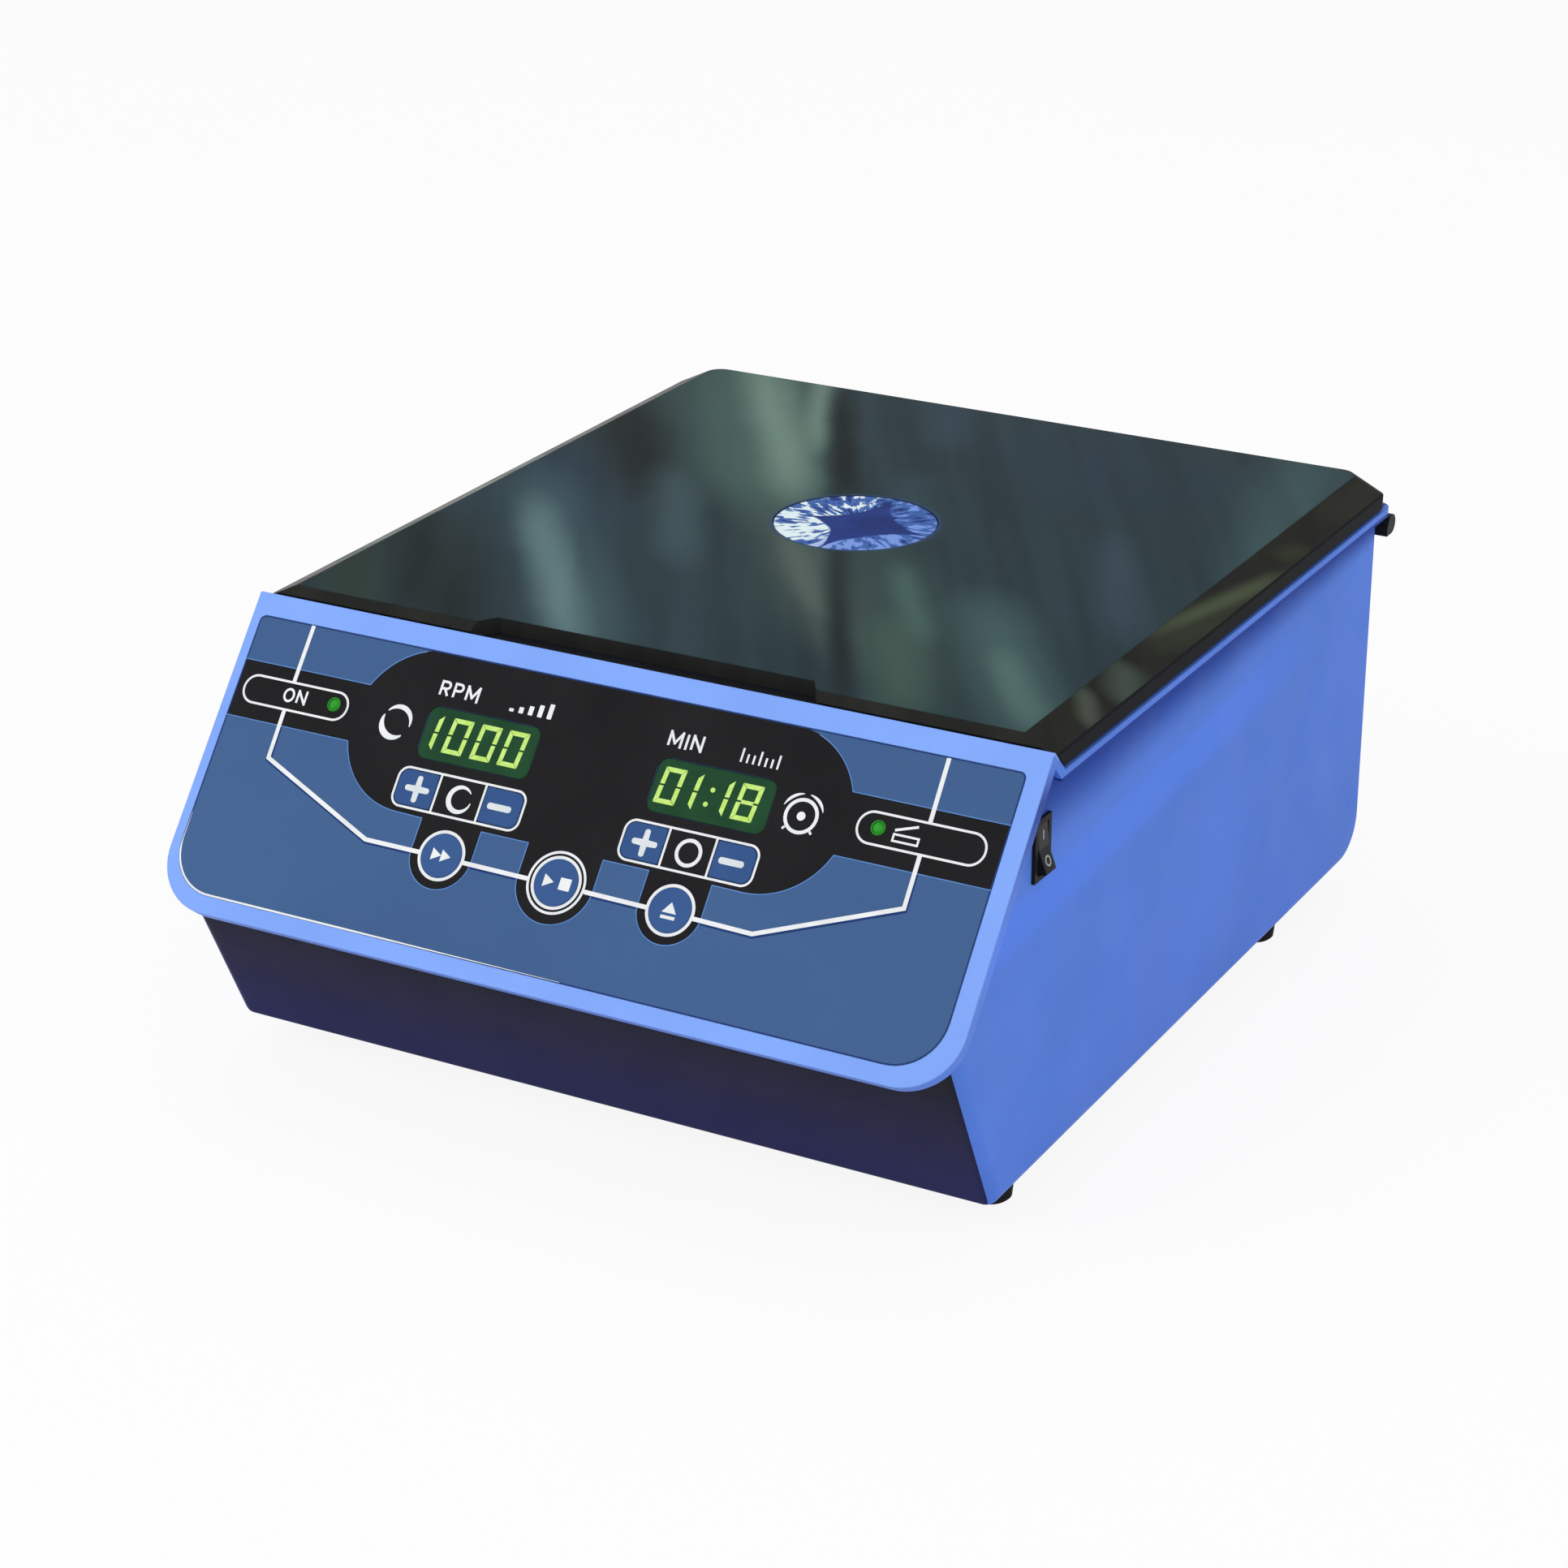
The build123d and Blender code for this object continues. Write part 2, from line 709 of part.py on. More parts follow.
with BuildPart() as base_plate:
    with BuildSketch(Plane.XY.offset(under_z)):
        with Locations((0, base_middle_y)):
            RectangleRounded(base_width - 2 * base_gap, base_length - 2 * base_gap, base_corner)
        with Locations((-base_vent_across, rotor_y), (base_vent_across, rotor_y)):
            with GridLocations(base_vent_length, base_vent_pitch, 1, base_vents):
                Rectangle(base_vent_length, base_vent_width, mode=Mode.SUBTRACT)
    extrude(amount=base_thickness)

base_plate.part.label = "base_plate"
export_step(base_plate.part, "parts/base_plate.step")

with BuildPart() as rubber_feet:
    with Locations(*[(x, y, 0) for x, y in foot_places]):
        Cone(
            foot_radius - foot_taper,
            foot_radius,
            foot_height,
            align=(Align.CENTER, Align.CENTER, Align.MIN),
        )
    chamfer(rubber_feet.edges().group_by(Axis.Z)[0], length=foot_edge)

rubber_feet.part.label = "rubber_feet"
export_step(rubber_feet.part, "parts/rubber_feet.step")

# ---- bowl: drawn sheet with a flange on the deck and a raised boss round the shaft ----
floor_z = under_z + bowl_floor
boss_z = floor_z + bowl_boss_rise
boss_under_z = boss_z - bowl_sheet / 2
boss_top_z = boss_z + bowl_sheet / 2
flange_z = deck_z + bowl_sheet / 2

with BuildPart() as bowl:
    with BuildSketch(rotor_side) as bowl_section:
        with BuildLine():
            Polyline(
                (bowl_hole_radius, boss_z),
                (bowl_boss_radius, boss_z),
                (bowl_boss_radius + bowl_boss_rise, floor_z),
                (bowl_radius, floor_z),
                (bowl_radius, flange_z),
                (bowl_flange, flange_z),
            )
        trace(line_width=bowl_sheet)
        inner_corner = bowl_section.vertices().sort_by_distance((bowl_radius, floor_z))[:2].sort_by(Axis.X)[0]
        fillet(inner_corner, radius=bowl_corner - bowl_sheet / 2)
        outer_corner = bowl_section.vertices().sort_by_distance((bowl_radius, floor_z))[0]
        fillet(outer_corner, radius=bowl_corner + bowl_sheet / 2)
    revolve(axis=rotor_axis)

bowl.part.label = "bowl"
export_step(bowl.part, "parts/bowl.step")

# ---- motor on its rubber mounts ----
base_top_z = under_z + base_thickness
plate_z = base_top_z + damper_height
motor_top_z = under_z + motor_top
nose_top_z = motor_top_z + motor_nose_height

with BuildPart() as motor_dampers:
    with Locations((0, rotor_y, base_top_z)):
        with GridLocations(damper_pitch, damper_pitch, 2, 2):
            Cylinder(damper_radius, damper_height, align=(Align.CENTER, Align.CENTER, Align.MIN))

motor_dampers.part.label = "motor_dampers"
export_step(motor_dampers.part, "parts/motor_dampers.step")

with BuildPart() as motor_plate:
    with BuildSketch(Plane.XY.offset(plate_z)):
        with Locations((0, rotor_y)):
            RectangleRounded(motor_plate_size, motor_plate_size, motor_plate_corner)
            Circle(motor_radius + motor_seat_gap, mode=Mode.SUBTRACT)
    extrude(amount=motor_plate_thickness)

motor_plate.part.label = "motor_plate"
export_step(motor_plate.part, "parts/motor_plate.step")

motor_seat_z = plate_z + motor_plate_thickness

with BuildPart() as motor:
    with BuildSketch(rotor_side):
        with BuildLine():
            Polyline(
                (0, under_z + motor_bottom),
                (motor_radius, under_z + motor_bottom),
                (motor_radius, motor_seat_z),
                (motor_flange_radius, motor_seat_z),
                (motor_flange_radius, motor_seat_z + motor_flange_thickness),
                (motor_radius, motor_seat_z + motor_flange_thickness),
                (motor_radius, motor_top_z),
                (motor_nose_radius, motor_top_z),
                (motor_nose_radius, nose_top_z),
                (shaft_radius + shaft_fit, nose_top_z),
                (shaft_radius + shaft_fit, under_z + shaft_bottom - shaft_fit),
                (0, under_z + shaft_bottom - shaft_fit),
                close=True,
            )
        make_face()
    revolve(axis=rotor_axis)

motor.part.label = "motor_body"
export_step(motor.part, "parts/motor_body.step")

boot_inner = motor_nose_radius + boot_gap
boot_outer = boot_inner + boot_fold
boot_top_z = boss_under_z - boot_sheet / 2
boot_step = (boot_top_z - motor_top_z) / 5

with BuildPart() as shaft_boot:
    with BuildSketch(rotor_side):
        with BuildLine():
            Polyline(
                (boot_inner, motor_top_z),
                (boot_inner, motor_top_z + boot_step),
                (boot_outer, motor_top_z + 2 * boot_step),
                (boot_inner, motor_top_z + 3 * boot_step),
                (boot_outer, motor_top_z + 4 * boot_step),
                (boot_outer, boot_top_z),
                (boot_outer + boot_ledge, boot_top_z),
            )
        trace(line_width=boot_sheet)
    revolve(axis=rotor_axis)

shaft_boot.part.label = "shaft_boot"
export_step(shaft_boot.part, "parts/shaft_boot.step")

# ---- rotor: shaft, disc with hub and ribs, nut ----
hub_z = boss_top_z + hub_gap
hub_top_z = hub_z + hub_height
disc_z = hub_z + disc_rise
disc_top_z = disc_z + disc_thickness
shaft_top_z = hub_top_z + shaft_stub
pivot_z = disc_top_z + pivot_rise
lean = math.radians(holder_lean)
well_floor = port_height - port_radius - port_lift - well_wall
well_heel = -(well_reach + well_base_radius)
rest_radius = pivot_radius + well_heel * math.cos(lean) - well_floor * math.sin(lean)
disc_hole_at = (hub_radius + hub_taper + rest_radius) / 2
rest_z = pivot_z + well_heel * math.sin(lean) + well_floor * math.cos(lean) - stop_gap

with BuildPart() as motor_shaft:
    with Locations((0, rotor_y, under_z + shaft_bottom)):
        Cylinder(
            shaft_radius,
            shaft_top_z - under_z - shaft_bottom,
            align=(Align.CENTER, Align.CENTER, Align.MIN),
        )
    chamfer(motor_shaft.edges().group_by(Axis.Z)[-1], length=shaft_edge)

motor_shaft.part.label = "motor_shaft"
export_step(motor_shaft.part, "parts/motor_shaft.step")

with BuildPart() as rotor_disc:
    with BuildSketch(rotor_side):
        with BuildLine():
            Polyline(
                (shaft_radius + shaft_fit, hub_z),
                (hub_radius, hub_z),
                (hub_radius + hub_taper, disc_z),
                (disc_radius, disc_z),
                (disc_radius, disc_top_z + lip_height),
                (disc_radius - lip_width, disc_top_z + lip_height),
                (disc_radius - lip_width, disc_top_z),
                (rest_radius + rest_width / 2, disc_top_z),
                (rest_radius + rest_width / 2, rest_z),
                (rest_radius - rest_width / 2, rest_z),
                (rest_radius - rest_width / 2, disc_top_z),
                (hub_radius + hub_taper, disc_top_z),
                (hub_radius, disc_top_z + hub_taper),
                (hub_radius, hub_top_z),
                (shaft_radius + shaft_fit, hub_top_z),
                close=True,
            )
        make_face()
    revolve(axis=rotor_axis)
    with BuildSketch(Plane.XY.offset(disc_z)):
        with Locations((0, rotor_y)):
            with PolarLocations((hub_radius + disc_radius) / 2, holder_count):
                Rectangle(disc_radius - hub_radius - lip_width, rib_width)
    extrude(amount=-rib_depth)
    with BuildSketch(Plane.XY.offset(disc_top_z)):
        with Locations((0, rotor_y)):
            with PolarLocations(disc_hole_at, holder_count, start_angle=180 / holder_count):
                Circle(disc_hole_radius)
    extrude(amount=-disc_thickness, mode=Mode.SUBTRACT)

rotor_disc.part.label = "rotor_disc"
export_step(rotor_disc.part, "parts/rotor_disc.step")

with BuildPart() as rotor_nut:
    with BuildSketch(Plane.XY.offset(hub_top_z)):
        with Locations((0, rotor_y)):
            Circle(nut_radius)
            with PolarLocations(nut_radius + nut_grip_reach, nut_grips):
                Circle(nut_grip_radius, mode=Mode.SUBTRACT)
    extrude(amount=nut_height)
    chamfer(rotor_nut.faces().sort_by(Axis.Z)[-1].edges(), length=nut_edge)
    with Locations((0, rotor_y, hub_top_z)):
        Cylinder(
            shaft_radius + shaft_fit,
            shaft_top_z - hub_top_z + stop_gap,
            align=(Align.CENTER, Align.CENTER, Align.MIN),
            mode=Mode.SUBTRACT,
        )

rotor_nut.part.label = "rotor_nut"
export_step(rotor_nut.part, "parts/rotor_nut.step")


def holder_frame(index, tilt):
    """Plane at a holder's pivot: x points outwards, y along the pivot, z up, leaning in by tilt."""
    turn = math.radians(360 * index / holder_count)
    outward = Vector(math.cos(turn), math.sin(turn), 0)
    up = Vector(0, 0, 1)
    pivot = Vector(0, rotor_y, pivot_z) + outward * pivot_radius
    return Plane(
        origin=pivot,
        x_dir=outward * math.cos(tilt) + up * math.sin(tilt),
        z_dir=up * math.cos(tilt) - outward * math.sin(tilt),
    )


def side_of(frame):
    """Side view of a holder: sketch x outwards, sketch y up."""
    return Plane(origin=frame.origin, x_dir=frame.x_dir, z_dir=-frame.y_dir)


def face_of(frame):
    """Front view of a holder from outside: sketch x along the pivot, sketch y up."""
    return Plane(origin=frame.origin, x_dir=frame.y_dir, z_dir=frame.x_dir)


# layers of a holder, outwards from the pivot's plane
plate_rear = -chamber_plate_rear
plate_front = plate_rear + chamber_plate
card_at = plate_front + card_gap
slide_at = plate_front + card_thickness
clip_at = slide_at + slide_thickness
clip_back = clip_at + clip_sheet
clip_inner = slide_width / 2 + clip_side_gap
clip_outer = clip_inner + clip_sheet
ear_inner = clip_outer + ear_gap
ear_outer = ear_inner + ear_thickness
clip_foot = slide_bottom - clip_lip
stop_face = clip_back + stop_gap
yoke_gap_rear = -10.0     # the gap between the ears is cut well past their outline
yoke_gap_front = 20.0
yoke_gap_top = ear_top + 5.0

# ---- holder yokes: ears that carry the clips' trunnions, with an outer stop bar ----
with BuildPart() as yokes:
    for index in range(holder_count):
        side = side_of(holder_frame(index, 0))
        with BuildSketch(side) as ear:
            with BuildLine():
                Polyline(
                    (-ear_foot_reach, -pivot_rise),
                    (stop_face + stop_bar, -pivot_rise),
                    (stop_face + stop_bar, ear_top),
                    (-ear_top_reach, ear_top),
                    (-ear_foot_reach, 0),
                    close=True,
                )
            make_face()
            Circle(trunnion_radius + trunnion_fit, mode=Mode.SUBTRACT)
        extrude(amount=ear_outer, both=True)
        with BuildSketch(side):
            with BuildLine():
                Polyline(
                    (yoke_gap_rear, yoke_base - pivot_rise),
                    (yoke_gap_front, yoke_base - pivot_rise),
                    (yoke_gap_front, stop_low),
                    (stop_face, stop_low),
                    (stop_face, yoke_gap_top),
                    (yoke_gap_rear, yoke_gap_top),
                    close=True,
                )
            make_face()
        extrude(amount=ear_inner, both=True, mode=Mode.SUBTRACT)

yokes.part.label = "holder_yokes"
export_step(yokes.part, "parts/holder_yokes.step")

for index in range(holder_count):
    frame = holder_frame(index, lean)
    side = side_of(frame)
    face = face_of(frame)
    number = index + 1

    # slide clip: folded sheet channel with a foot, spring tabs and trunnions
    with BuildPart() as clip:
        with BuildSketch(face.offset(clip_at)) as clip_face:
            with Locations((0, clip_foot + clip_height / 2)):
                Rectangle(2 * clip_outer, clip_height)
            chamfer(clip_face.vertices().group_by(Axis.Y)[-1], length=clip_corner)
            with Locations((0, port_height)):
                Rectangle(clip_window_width, clip_window_height, mode=Mode.SUBTRACT)
        extrude(amount=clip_sheet)
        for edge in (-1, 1):
            with BuildSketch(face.offset(-clip_reach)):
                with Locations((edge * (clip_inner + clip_outer) / 2, clip_foot + clip_side_height / 2)):
                    Rectangle(clip_sheet, clip_side_height)
            extrude(amount=clip_back + clip_reach)
            with BuildSketch(face.offset(plate_rear - tab_thickness)):
                with Locations((edge * (clip_inner - tab_reach / 2), (tab_low + tab_high) / 2)):
                    Rectangle(tab_reach, tab_high - tab_low)
            extrude(amount=tab_thickness)
            with BuildSketch(side.offset(edge * (clip_inner + clip_sheet / 2))):
                Circle(trunnion_radius)
            extrude(amount=edge * (clip_sheet / 2 + trunnion_length))
        with BuildSketch(face.offset(plate_rear)):
            with Locations((0, clip_foot + clip_lip / 2)):
                Rectangle(2 * clip_inner, clip_lip)
        extrude(amount=clip_back - plate_rear)
    clip.part.label = f"slide_clip_{number}"
    export_step(clip.part, f"parts/slide_clip_{number}.step")

    with BuildPart() as glass_slide:
        with BuildSketch(face.offset(slide_at)):
            with Locations((0, slide_bottom + slide_length / 2)):
                Rectangle(slide_width, slide_length)
        extrude(amount=slide_thickness)
    glass_slide.part.label = f"glass_slide_{number}"
    export_step(glass_slide.part, f"parts/glass_slide_{number}.step")

    # sample chamber: tapered well and port on a plate, with its filter card
    well_axis = Axis(frame.from_local_coords(Vector(-well_reach, 0, 0)), frame.z_dir)
    with BuildPart() as chamber:
        with BuildSketch(face.offset(plate_rear)):
            with Locations((0, slide_bottom + chamber_plate_length / 2)):
                Rectangle(slide_width - 2 * chamber_plate_margin, chamber_plate_length)
        extrude(amount=chamber_plate)
        with BuildSketch(face.offset(plate_rear)):
            with Locations((0, port_height)):
                Circle(port_radius + well_wall)
        extrude(amount=-(well_reach + plate_rear))
        with BuildSketch(side):
            with BuildLine():
                Polyline(
                    (-well_reach, well_floor),
                    (-well_reach - well_base_radius, well_floor),
                    (-well_reach - well_top_radius, well_height),
                    (-well_reach, well_height),
                    close=True,
                )
            make_face()
        revolve(axis=well_axis)
        with BuildSketch(side):
            with BuildLine():
                Polyline(
                    (-well_reach, well_floor + well_wall),
                    (-well_reach - well_base_radius + well_wall, well_floor + well_wall),
                    (-well_reach - well_top_radius + well_wall, well_height),
                    (-well_reach, well_height),
                    close=True,
                )
            make_face()
        revolve(axis=well_axis, mode=Mode.SUBTRACT)
        with BuildSketch(face.offset(plate_front)):
            with Locations((0, port_height)):
                Circle(port_radius)
        extrude(amount=-(well_reach + plate_front), mode=Mode.SUBTRACT)
        with BuildSketch(face.offset(card_at)):
            with Locations((0, slide_bottom + chamber_plate_length / 2)):
                Rectangle(slide_width - 2 * card_margin, chamber_plate_length)
            with Locations((0, port_height)):
                Circle(port_radius, mode=Mode.SUBTRACT)
        extrude(amount=slide_at - card_at)
    chamber.part.label = f"sample_chamber_{number}"
    export_step(chamber.part, f"parts/sample_chamber_{number}.step")

# ---- lid: bevelled moulded shell with a finger recess and a round window ----
lid_rear_y = rear_y + lid_rear_lap
lid_inner_top_z = lid_top_z - lid_wall
lid_inner_front_y = edge_y + grip_rear + lid_wall
shoulder_z = lid_top_z - lid_bevel_drop
nose = (edge_y + lid_front_nose, crest_z + lid_ridge_gap / math.cos(math.radians(ridge_slope))
        - lid_front_nose * ridge_fall)
lip = (edge_y + lid_front_lip, lid_top_z)
nose_cut = Plane(origin=(0, *lip), x_dir=(1, 0, 0), z_dir=(0, nose[1] - lip[1], lip[0] - nose[0]))
liner_z = deck_z + liner_drop
liner_width = lid_width - 2 * (lid_wall + liner_margin)
liner_front_y = lid_inner_front_y + liner_front_gap
liner_rear_y = lid_rear_y - lid_wall - liner_rear_gap
liner_middle_y = (liner_front_y + liner_rear_y) / 2
liner_length = liner_rear_y - liner_front_y

with BuildPart() as lid:
    # crown: its side bevels and its rounded rear corners
    for half_width, level in ((lid_width / 2, shoulder_z), (lid_top_width / 2, lid_top_z)):
        with BuildSketch(Plane.XY.offset(level)) as crown_plan:
            with Locations((0, (lid_rear_y + nose[0]) / 2)):
                Rectangle(2 * half_width, lid_rear_y - nose[0])
            fillet(crown_plan.vertices().group_by(Axis.Y)[-1], radius=lid_corner)
    loft(ruled=True)
    with BuildSketch(Plane.XY.offset(lid_foot_z)) as skirt_plan:
        with Locations((0, (lid_rear_y + nose[0]) / 2)):
            Rectangle(lid_width, lid_rear_y - nose[0])
        fillet(skirt_plan.vertices().group_by(Axis.Y)[-1], radius=lid_corner)
    extrude(amount=shoulder_z - lid_foot_z)
    split(bisect_by=ridge_cut.offset(lid_ridge_gap), keep=Keep.TOP)
    split(bisect_by=nose_cut, keep=Keep.BOTTOM)
    with BuildSketch(Plane.XZ.offset(-(lid_rear_y - lid_wall))):
        with BuildLine():
            Polyline(
                (-lid_width / 2 + lid_wall, lid_foot_z),
                (-lid_width / 2 + lid_wall, shoulder_z - lid_wall / 2),
                (-lid_top_width / 2, lid_inner_top_z),
                (lid_top_width / 2, lid_inner_top_z),
                (lid_width / 2 - lid_wall, shoulder_z - lid_wall / 2),
                (lid_width / 2 - lid_wall, lid_foot_z),
                close=True,
            )
        make_face()
    extrude(amount=lid_rear_y - lid_wall - lid_inner_front_y, mode=Mode.SUBTRACT)
    # bosses for the liner
    with BuildSketch(Plane.XY.offset(liner_z + liner_thickness)):
        with Locations((0, liner_middle_y)):
            with GridLocations(liner_width - 2 * liner_boss_inset, liner_length - 2 * liner_boss_inset, 2, 2):
                Circle(liner_boss_radius)
    extrude(amount=lid_inner_top_z - liner_z - liner_thickness)
    # finger recess
    with BuildSketch(Plane.XY.offset(lid_top_z)):
        with BuildLine():
            Polyline(
                (-grip_width / 2 - grip_end, nose[0] - 1),
                (-grip_width / 2 + grip_end, edge_y + grip_rear),
                (grip_width / 2 - grip_end, edge_y + grip_rear),
                (grip_width / 2 + grip_end, nose[0] - 1),
                close=True,
            )
        make_face()
    extrude(amount=-grip_depth, mode=Mode.SUBTRACT)
    with BuildSketch(Plane.XY.offset(lid_top_z)):
        with Locations((0, rotor_y)):
            Circle(window_radius + window_clearance)
    extrude(amount=-lid_wall, mode=Mode.SUBTRACT)

lid.part.label = "lid_shell"
export_step(lid.part, "parts/lid_shell.step")

with BuildPart() as lid_window:
    with Locations((0, rotor_y, lid_inner_top_z)):
        Cylinder(window_radius, window_thickness, align=(Align.CENTER, Align.CENTER, Align.MIN))
    chamfer(lid_window.edges().group_by(Axis.Z)[-1], length=window_edge)

lid_window.part.label = "lid_window"
export_step(lid_window.part, "parts/lid_window.step")

with BuildPart() as window_ring:
    with BuildSketch(Plane.XY.offset(lid_inner_top_z)):
        with Locations((0, rotor_y)):
            Circle(window_radius + window_ring_lap)
            Circle(window_radius - window_ring_lap, mode=Mode.SUBTRACT)
    extrude(amount=-window_ring_thickness)

window_ring.part.label = "window_ring"
export_step(window_ring.part, "parts/window_ring.step")

with BuildPart() as lid_liner:
    with BuildSketch(Plane.XY.offset(liner_z)):
        with Locations((0, liner_middle_y)):
            RectangleRounded(liner_width, liner_length, liner_corner)
        with Locations((0, rotor_y)):
            Circle(window_radius + liner_hole_margin, mode=Mode.SUBTRACT)
    extrude(amount=liner_thickness)

lid_liner.part.label = "lid_liner"
export_step(lid_liner.part, "parts/lid_liner.step")

gasket_foot_z = deck_z + bowl_sheet + gasket_gap
gasket_outer = bowl_flange - gasket_inset

with BuildPart() as lid_gasket:
    with BuildSketch(Plane.XY.offset(gasket_foot_z)):
        with Locations((0, rotor_y)):
            Circle(gasket_outer)
            Circle(gasket_outer - gasket_width, mode=Mode.SUBTRACT)
    extrude(amount=liner_z - gasket_foot_z)
    chamfer(lid_gasket.edges().group_by(Axis.Z)[0], length=gasket_edge)

lid_gasket.part.label = "lid_gasket"
export_step(lid_gasket.part, "parts/lid_gasket.step")

# ---- latch: striker on the lid, bolt and solenoid under the deck ----
striker_foot_z = deck_z - striker_reach
eye_z = striker_foot_z + striker_eye_wall + striker_eye / 2

with BuildPart() as striker:
    with BuildSketch(Plane.YZ) as striker_side:
        with Locations((striker_y, (striker_foot_z + liner_z) / 2)):
            Rectangle(striker_width, liner_z - striker_foot_z)
        fillet(striker_side.vertices().group_by(Axis.Y)[0], radius=striker_eye_wall)
        with Locations((striker_y, eye_z)):
            Rectangle(striker_eye, striker_eye, mode=Mode.SUBTRACT)
    extrude(amount=striker_thickness / 2, both=True)
    with BuildSketch(Plane.XY.offset(liner_z)):
        with Locations((0, striker_y)):
            Rectangle(striker_plate_width, striker_width)
    extrude(amount=-striker_plate)

striker.part.label = "lid_striker"
export_step(striker.part, "parts/lid_striker.step")

latch_top_z = deck_under_z - latch_sheet / 2
latch_foot_z = deck_under_z - latch_depth
latch_middle = latch_inner + latch_sheet / 2

with BuildPart() as latch_frame:
    with BuildSketch(Plane.XZ.offset(-striker_y)):
        with BuildLine():
            Polyline(
                (-latch_middle - latch_flange, latch_top_z),
                (-latch_middle, latch_top_z),
                (-latch_middle, latch_foot_z),
                (latch_middle, latch_foot_z),
                (latch_middle, latch_top_z),
                (latch_middle + latch_flange, latch_top_z),
            )
        trace(line_width=latch_sheet)
    extrude(amount=latch_length / 2, both=True)
    with BuildSketch(Plane.YZ):
        with Locations((striker_y, eye_z)):
            Circle(bolt_radius + bolt_fit)
    extrude(amount=latch_middle + latch_sheet, both=True, mode=Mode.SUBTRACT)

latch_frame.part.label = "latch_frame"
export_step(latch_frame.part, "parts/latch_frame.step")

solenoid_x = -(latch_inner + latch_sheet)
bolt_tip_x = -(striker_thickness / 2 + bolt_clearance)
bolt_tail_x = solenoid_x - solenoid_length + bolt_tail_gap

with BuildPart() as solenoid:
    with BuildSketch(Plane.YZ.offset(solenoid_x)):
        with Locations((striker_y, eye_z)):
            Rectangle(solenoid_size, solenoid_size)
    extrude(amount=-solenoid_length)
    with BuildSketch(Plane.YZ.offset(solenoid_x)):
        with Locations((striker_y, eye_z)):
            Circle(bolt_radius + bolt_fit)
    extrude(amount=-(solenoid_length - solenoid_end), mode=Mode.SUBTRACT)

solenoid.part.label = "latch_solenoid"
export_step(solenoid.part, "parts/latch_solenoid.step")

with BuildPart() as latch_bolt:
    with BuildSketch(Plane.YZ.offset(bolt_tail_x)):
        with Locations((striker_y, eye_z)):
            Circle(bolt_radius)
    extrude(amount=bolt_tip_x - bolt_tail_x)
    chamfer(latch_bolt.edges().group_by(Axis.X)[-1], length=bolt_point)

latch_bolt.part.label = "latch_bolt"
export_step(latch_bolt.part, "parts/latch_bolt.step")

# ---- hinges: brackets on the rear wall, arms over the ledge, pins ----
hinge_y = rear_y + hinge_overhang
hinge_z = deck_z - hinge_drop
hinge_outer_x = half_case + rim_overhang
hinge_inner_x = hinge_outer_x - hinge_length
arm_outer_x = hinge_outer_x - knuckle_length - knuckle_gap
arm_inner_x = hinge_inner_x + knuckle_length + knuckle_gap

with BuildPart() as brackets:
    for side in (-1, 1):
        with BuildSketch(Plane.YZ.offset(side * hinge_inner_x)):
            with Locations((rear_y + hinge_leaf / 2, hinge_z + bracket_rise - bracket_height / 2)):
                Rectangle(hinge_leaf, bracket_height)
        extrude(amount=side * (half_case - wall_corner - hinge_inner_x))
        for start in (hinge_inner_x, hinge_outer_x - knuckle_length):
            with BuildSketch(Plane.YZ.offset(side * start)):
                with Locations((hinge_y, hinge_z)):
                    Circle(hinge_radius)
                with Locations(((rear_y + hinge_leaf + hinge_y) / 2, hinge_z - hinge_radius / 2)):
                    Rectangle(hinge_y - rear_y - hinge_leaf, hinge_radius)
                with Locations((hinge_y, hinge_z)):
                    Circle(hinge_pin_radius, mode=Mode.SUBTRACT)
            extrude(amount=side * knuckle_length)

brackets.part.label = "hinge_brackets"
export_step(brackets.part, "parts/hinge_brackets.step")

with BuildPart() as pins:
    for side in (-1, 1):
        with BuildSketch(Plane.YZ.offset(side * hinge_inner_x)):
            with Locations((hinge_y, hinge_z)):
                Circle(hinge_pin_radius)
        extrude(amount=side * hinge_length)

pins.part.label = "hinge_pins"
export_step(pins.part, "parts/hinge_pins.step")

strap_y = hinge_y + hinge_radius - hinge_leaf
leaf_top_z = lid_top_z - hinge_leaf_margin

with BuildPart() as arms:
    for side in (-1, 1):
        with BuildSketch(Plane.YZ.offset(side * arm_inner_x)):
            with BuildLine():
                Polyline(
                    (lid_rear_y, lid_foot_z),
                    (strap_y, lid_foot_z),
                    (strap_y, hinge_z),
                    (hinge_y + hinge_radius, hinge_z),
                    (hinge_y + hinge_radius, lid_foot_z + hinge_leaf / 2),
                    (hinge_y + hinge_radius - hinge_leaf / 2, lid_foot_z + hinge_leaf),
                    (lid_rear_y + hinge_leaf, lid_foot_z + hinge_leaf),
                    (lid_rear_y + hinge_leaf, leaf_top_z),
                    (lid_rear_y, leaf_top_z),
                    close=True,
                )
            make_face()
            with Locations((hinge_y, hinge_z)):
                Circle(hinge_radius)
                Circle(hinge_pin_radius + hinge_fit, mode=Mode.SUBTRACT)
        extrude(amount=side * (arm_outer_x - arm_inner_x))

arms.part.label = "lid_hinge_arms"
export_step(arms.part, "parts/lid_hinge_arms.step")

# ---- power switch on the side wall ----
rocker_tilt = rocker_swing / 2
rocker_view = Plane(
    origin=(half_case, switch_y, switch_z),
    x_dir=(math.cos(math.radians(rocker_tilt)), 0, math.sin(math.radians(rocker_tilt))),
    z_dir=(0, -1, 0),
)

